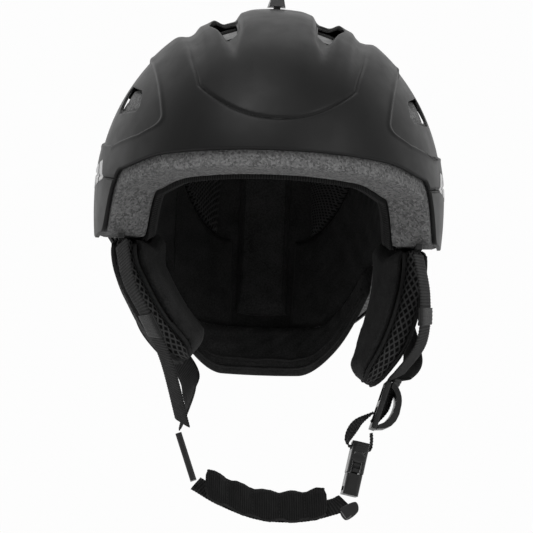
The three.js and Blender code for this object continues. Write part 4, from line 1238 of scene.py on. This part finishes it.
def make_straps():
    for name, side in SIDES:
        wide = lambda t, s=side: (0.45 * s, 0.9, 0.1)
        line = FRONT_STRAPS[name]
        front = ribbon(f"front_webbing_{name}", line, wide, WEB_WIDTH, WEB_THICK, WEBBING_PAINT)
        place(front, "helmet", "webbing", f"front_strap_{name}")
        turning = lambda t, s=side: rear_wide(t, s)
        rear = ribbon(f"rear_webbing_{name}", REAR_STRAPS[name], turning, WEB_WIDTH, WEB_THICK, WEBBING_PAINT)
        place(rear, "helmet", "webbing", f"rear_strap_{name}")
        loop = ribbon(f"satin_loop_{name}", line, wide, 20.6, 3.8, SATIN_PAINT, 2.4, 0.08, LOOP_SPAN)
        place(loop, "helmet", "webbing", f"strap_loop_{name}")
    line = [(x, BUCKLE_LEVEL, z) for x, z in BUCKLE_LINE]
    twist = lambda t: (0.55 * math.sin(math.pi * min(1.0, t / 0.55)), 1, 0)
    strap = ribbon("buckle_webbing", line, twist, 16, 1.3, WEBBING_PAINT)
    place(strap, "helmet", "webbing", "buckle_strap")
    under = ribbon("divider_webbing", DIVIDER_LINE, lambda t: (0.35, 0.9, 0), 16, 1.5, WEBBING_PAINT)
    place(under, "helmet", "webbing")


# ---------------------------------------------------------------- chin strap and pad
CHIN_LINE = [(-40.2, -11, -191.5), (-24, -13, -200), (0, -15, -208)]
CHIN_LINE += [(26, -15, -208.5), (46, -13, -203.5), (54.4, -11, -199.6)]
CHIN_WIDE = np.array([0, 0.82, 0.57])
CHIN_UP = np.array([0, -0.57, 0.82])
CHIN_SEAMS = (0.0, 0.2, 0.41, 0.62, 0.82, 1.0)
CHIN_PAD_SPAN = (0.07, 0.87)
CHIN_PAD_LENGTH = 84
CHIN_PAD_HALF = 17.0
CHIN_PAD_HALF_DEPTH = 4.0
CHIN_PAD_LIFT = 5.85
CHIN_RIB = 2.2


def make_chin():
    web = ribbon("chin_webbing", CHIN_LINE, lambda t: CHIN_WIDE, WEB_WIDTH, WEB_THICK, WEBBING_PAINT)
    place(web, "chin", "webbing", "chin_strap")
    rows, columns = 150, 44
    share = np.linspace(0, 1, rows)
    length = share * CHIN_PAD_LENGTH
    centre = along(curve(CHIN_LINE, 800)[0], np.interp(share, (0, 1), CHIN_PAD_SPAN))
    nearest = np.min(np.abs(share[:, None] - np.array(CHIN_SEAMS)[None, :]), 1) * CHIN_PAD_LENGTH
    puff = smooth(nearest, 0, 7)
    width = CHIN_PAD_HALF * (0.84 + 0.13 * puff)
    thick = CHIN_PAD_HALF_DEPTH * (0.5 + 0.46 * puff) + 0.12 * np.cos(2 * math.pi * length / CHIN_RIB)
    ends = np.sqrt(np.clip(np.minimum(share, 1 - share) / 0.03 + 0.25, 0, 1))
    theta = np.linspace(0, 2 * math.pi, columns, endpoint=False)
    a = np.sign(np.cos(theta)) * np.abs(np.cos(theta)) ** 0.75
    h = np.sign(np.sin(theta)) * np.abs(np.sin(theta)) ** 0.8
    verts = centre[:, None] + (width * ends)[:, None, None] * a[None, :, None] * CHIN_WIDE
    up = CHIN_PAD_LIFT + (thick * ends)[:, None] * h[None, :]
    verts = verts + up[..., None] * CHIN_UP
    verts += 0.25 * ripple(verts, 8, 9)[..., None] * CHIN_UP
    uvs = np.stack(np.broadcast_arrays(length[:, None], theta[None, :] * 7), -1)
    cushion = make("chin_cushion", verts, capped(rows, columns), CHIN_KNIT_PAINT, uvs)
    place(cushion, "chin", "fleece", "chin_pad", fill=0.7)
    for k, column in enumerate((0, columns // 2)):
        place(tube(f"chin_piping_{k}", verts[3:-3, column], 0.8, PIPING_PAINT), "chin", "fleece")
    for k, at in enumerate(CHIN_SEAMS[1:-1]):
        row = int(at * (rows - 1))
        middle = centre[row] + CHIN_PAD_LIFT * CHIN_UP
        ring = middle + 1.02 * (verts[row] - middle)
        place(stitches(f"chin_seam_{k}", ring, 2.2, 1.2, 0.28), "chin", "fleece")
    end, _ = curve(CHIN_LINE, 100)
    for k in (3, 6):
        path = [end[k] + CHIN_WIDE * s * 8 - CHIN_UP * 1.0 for s in np.linspace(-1, 1, 12)]
        place(stitches(f"bartack_{k}", path, 1.6, 0.8, 0.25), "chin", "webbing")
    make_tail()


TAIL_CORNERS = [(60, -199.5), (62, -206), (54, -212), (50, -205)]
# The path of the painted highlight along the tab's lower edge, as (x, z) points.
TAIL_HIGHLIGHT = [(50.9, -206.0), (53, -209.0), (54.6, -210.9), (57.5, -208.6)]
# The tab's rounded edge, from front to back: each ring's place in y and its scale.
TAIL_RINGS = ((-28.9, 0.9), (-28.9, 0.96), (-28.4, 1.0), (-27.6, 1.0), (-27.1, 0.96), (-27.1, 0.9))


def make_tail():
    """The kite-shaped tab at the strap's end, placed as in the CAD, with a painted highlight on its lower
    edge: a thin light grey line.
    """
    corners = np.array(TAIL_CORNERS)
    middle = corners.mean(0)
    rounded, _ = curve([(*(middle + (c - middle) * 0.93), 0) for c in corners], 60, closed=True)
    rings = []
    for y, scale in TAIL_RINGS:
        flat = middle + (rounded[:, :2] - middle) * scale
        rings.append(np.stack([flat[:, 0], 0 * flat[:, 0] + y, flat[:, 1]], -1))
    tab = make("tail_tab", np.stack(rings), capped(len(rings), 60), PLASTIC_PAINT)
    place(tab, "chin", "webbing", "strap_tail")
    # A thin light grey tube along the lower edge stands for the light there: a painted highlight.
    path = [(x, -28.95, z) for x, z in TAIL_HIGHLIGHT]
    place(tube("tail_edge_highlight", path, 0.3, GREY_PLASTIC_AND_HIGHLIGHT_PAINT), "chin", "webbing")


# ---------------------------------------------------------------- hardware
ANCHORS = [f"strap_anchor_{row}_{name}" for row in ("front", "rear") for name, _ in SIDES]
PLASTIC_NODES = ANCHORS + [
    "divider_left", "divider_cover_left", "divider_right", "buckle_socket", "buckle_plug", "buckle_arm_front",
    "buckle_arm_rear", "dial_housing", "fit_dial", "fit_band_left", "fit_band_right", "goggle_clip_base",
    "goggle_clip_lever", "slider_knob", "vent_shutter",
]
THIN_NODES = ("fit_band_left", "fit_band_right", "vent_shutter")
# In metres, as the modifiers take them.
BEVEL_WIDTH = 0.00045
THIN_BEVEL_WIDTH = 0.00025
WELD_DISTANCE = 1e-5
BEVEL_ANGLE = math.radians(38)


def dress(name, material):
    """A material and softened edges for a CAD part that shows as it is."""
    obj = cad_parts[name]
    obj.data.materials.clear()
    obj.data.materials.append(material)
    weld = obj.modifiers.new("weld", "WELD")
    weld.merge_threshold = WELD_DISTANCE
    bevel = obj.modifiers.new("bevel", "BEVEL")
    bevel.width = THIN_BEVEL_WIDTH if name in THIN_NODES else BEVEL_WIDTH
    bevel.segments = 2
    bevel.angle_limit = BEVEL_ANGLE


def make_hardware():
    for name in PLASTIC_NODES:
        dress(name, PLASTIC_PAINT)
    dress("goggle_clip_pin", METAL_PAINT)
    for name, side in SIDES:
        shorten_band(name, side)
    make_stripes()
    make_buckle_detail()
    make_dial_ridges()


BAND_REACH = 46


def shorten_band(name, side):
    """A fit band cut short, because the CAD's would show past the neck roll. The photo shows none."""
    band = copy_of(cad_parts[f"fit_band_{name}"], f"fit_band_short_{name}")
    bm = bmesh.new()
    bm.from_mesh(band.data)
    bmesh.ops.remove_doubles(bm, verts=bm.verts, dist=WELD_DISTANCE)
    everything = bm.verts[:] + bm.edges[:] + bm.faces[:]
    plane = {"plane_co": (side * BAND_REACH * MM, 0, 0), "plane_no": (side, 0, 0)}
    found = bmesh.ops.bisect_plane(bm, geom=everything, clear_outer=True, **plane)
    edges = [e for e in found["geom_cut"] if isinstance(e, bmesh.types.BMEdge)]
    bmesh.ops.holes_fill(bm, edges=edges)
    bm.to_mesh(band.data)
    bm.free()
    place(band, f"band_{name}", "plastic", f"fit_band_{name}")


BUCKLE_TURN = math.radians(11)
BUTTON_SIZE = (9, 7, 1.2)


def signed_power(x, power):
    return np.sign(x) * np.abs(x) ** power


def oval_button(centre):
    """A low pillow-edged oval that faces -Y and leans with the buckle."""
    u = np.linspace(-math.pi / 2, math.pi / 2, 13)[:, None]
    v = np.linspace(-math.pi, math.pi, 29)[None, :-1]
    side, low = signed_power(np.cos(u), 0.35), 2 / 2.2
    x, z = side * signed_power(np.cos(v), low), side * signed_power(np.sin(v), low)
    y = signed_power(np.sin(u), low) + 0 * v
    points = np.stack([x, z, y], -1) * (np.asarray(BUTTON_SIZE, float) / 2)
    x, z, y = points[..., 0], points[..., 1], points[..., 2]
    c, s = math.cos(BUCKLE_TURN), math.sin(BUCKLE_TURN)
    points = np.stack([x * c + z * s, y, -x * s + z * c], -1) + np.asarray(centre, float)
    return points.reshape(-1, 3), grid_faces(13, 28, wrap_columns=True)


def make_buckle_detail():
    """The release button's oval and three grip lines on the buckle."""
    low, high = (np.array(corner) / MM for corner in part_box("buckle_socket"))
    x, _, z = (low + high) / 2
    front = low[1]
    button = make("buckle_button", *oval_button((x, front - 0.1, z)), PLASTIC_PAINT)
    place(button, "helmet", "hardware")
    lines = []
    for k in (6.4, 8.0, 9.6):
        start = np.array([x - 6, front - 0.05, z + 1.1])
        start += k * np.array([math.sin(BUCKLE_TURN), 0, math.cos(BUCKLE_TURN)])
        lines.append(tube_mesh([start, start + [12, 0, -2.2]], 0.35, 6))
    place(make("buckle_grip_lines", *merged(lines), PLASTIC_PAINT), "helmet", "hardware")


DIAL_HEIGHT = -96.5
DIAL_RADIUS = 11.9
DIAL_RIDGES = 30


def make_dial_ridges():
    _, high = (np.array(corner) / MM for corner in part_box("fit_dial"))
    parts = []
    for k in range(DIAL_RIDGES):
        a = 2 * math.pi * k / DIAL_RIDGES
        x, z = DIAL_RADIUS * math.cos(a), DIAL_HEIGHT + DIAL_RADIUS * math.sin(a)
        parts.append(tube_mesh([(x, high[1] - 4.2, z), (x, high[1] - 0.6, z)], 0.45, 6))
    place(make("dial_ridges", *merged(parts), GREY_PLASTIC_AND_HIGHLIGHT_PAINT), "dial", "hardware")


STRIPE_Y = (-50, -41)
STRIPE_Z = (-6, 7)
STRIPE_STEP = 13
STRIPE_SLANT = 0.35


def make_stripes():
    """Three plain slanted stripes on each side of the shell, in place of the printed marks in the photo."""
    for name, side in SIDES:
        parts = []
        for k in range(3):
            z = np.linspace(*STRIPE_Z, 18)[None, :]
            y = np.linspace(*STRIPE_Y, 14)[:, None] + STRIPE_STEP * k + STRIPE_SLANT * (z - STRIPE_Z[0])
            azimuth = azimuth_of(side * 105, y)
            polar = polar_at_height(lambda a, p: outer_point(direction(a, p)), azimuth, z + 0 * y)
            d = direction(azimuth, polar)
            parts.append(close_sheets(outer_point(d, -0.25), outer_point(d, 0.3)))
        place(make(f"side_stripes_{name}", *merged(parts), PRINT_PAINT), "helmet", "shell")


make_stage()
make_camera()
make_shell()
make_foam()
make_liner()
make_ear_pads()
make_straps()
make_chin()
make_hardware()
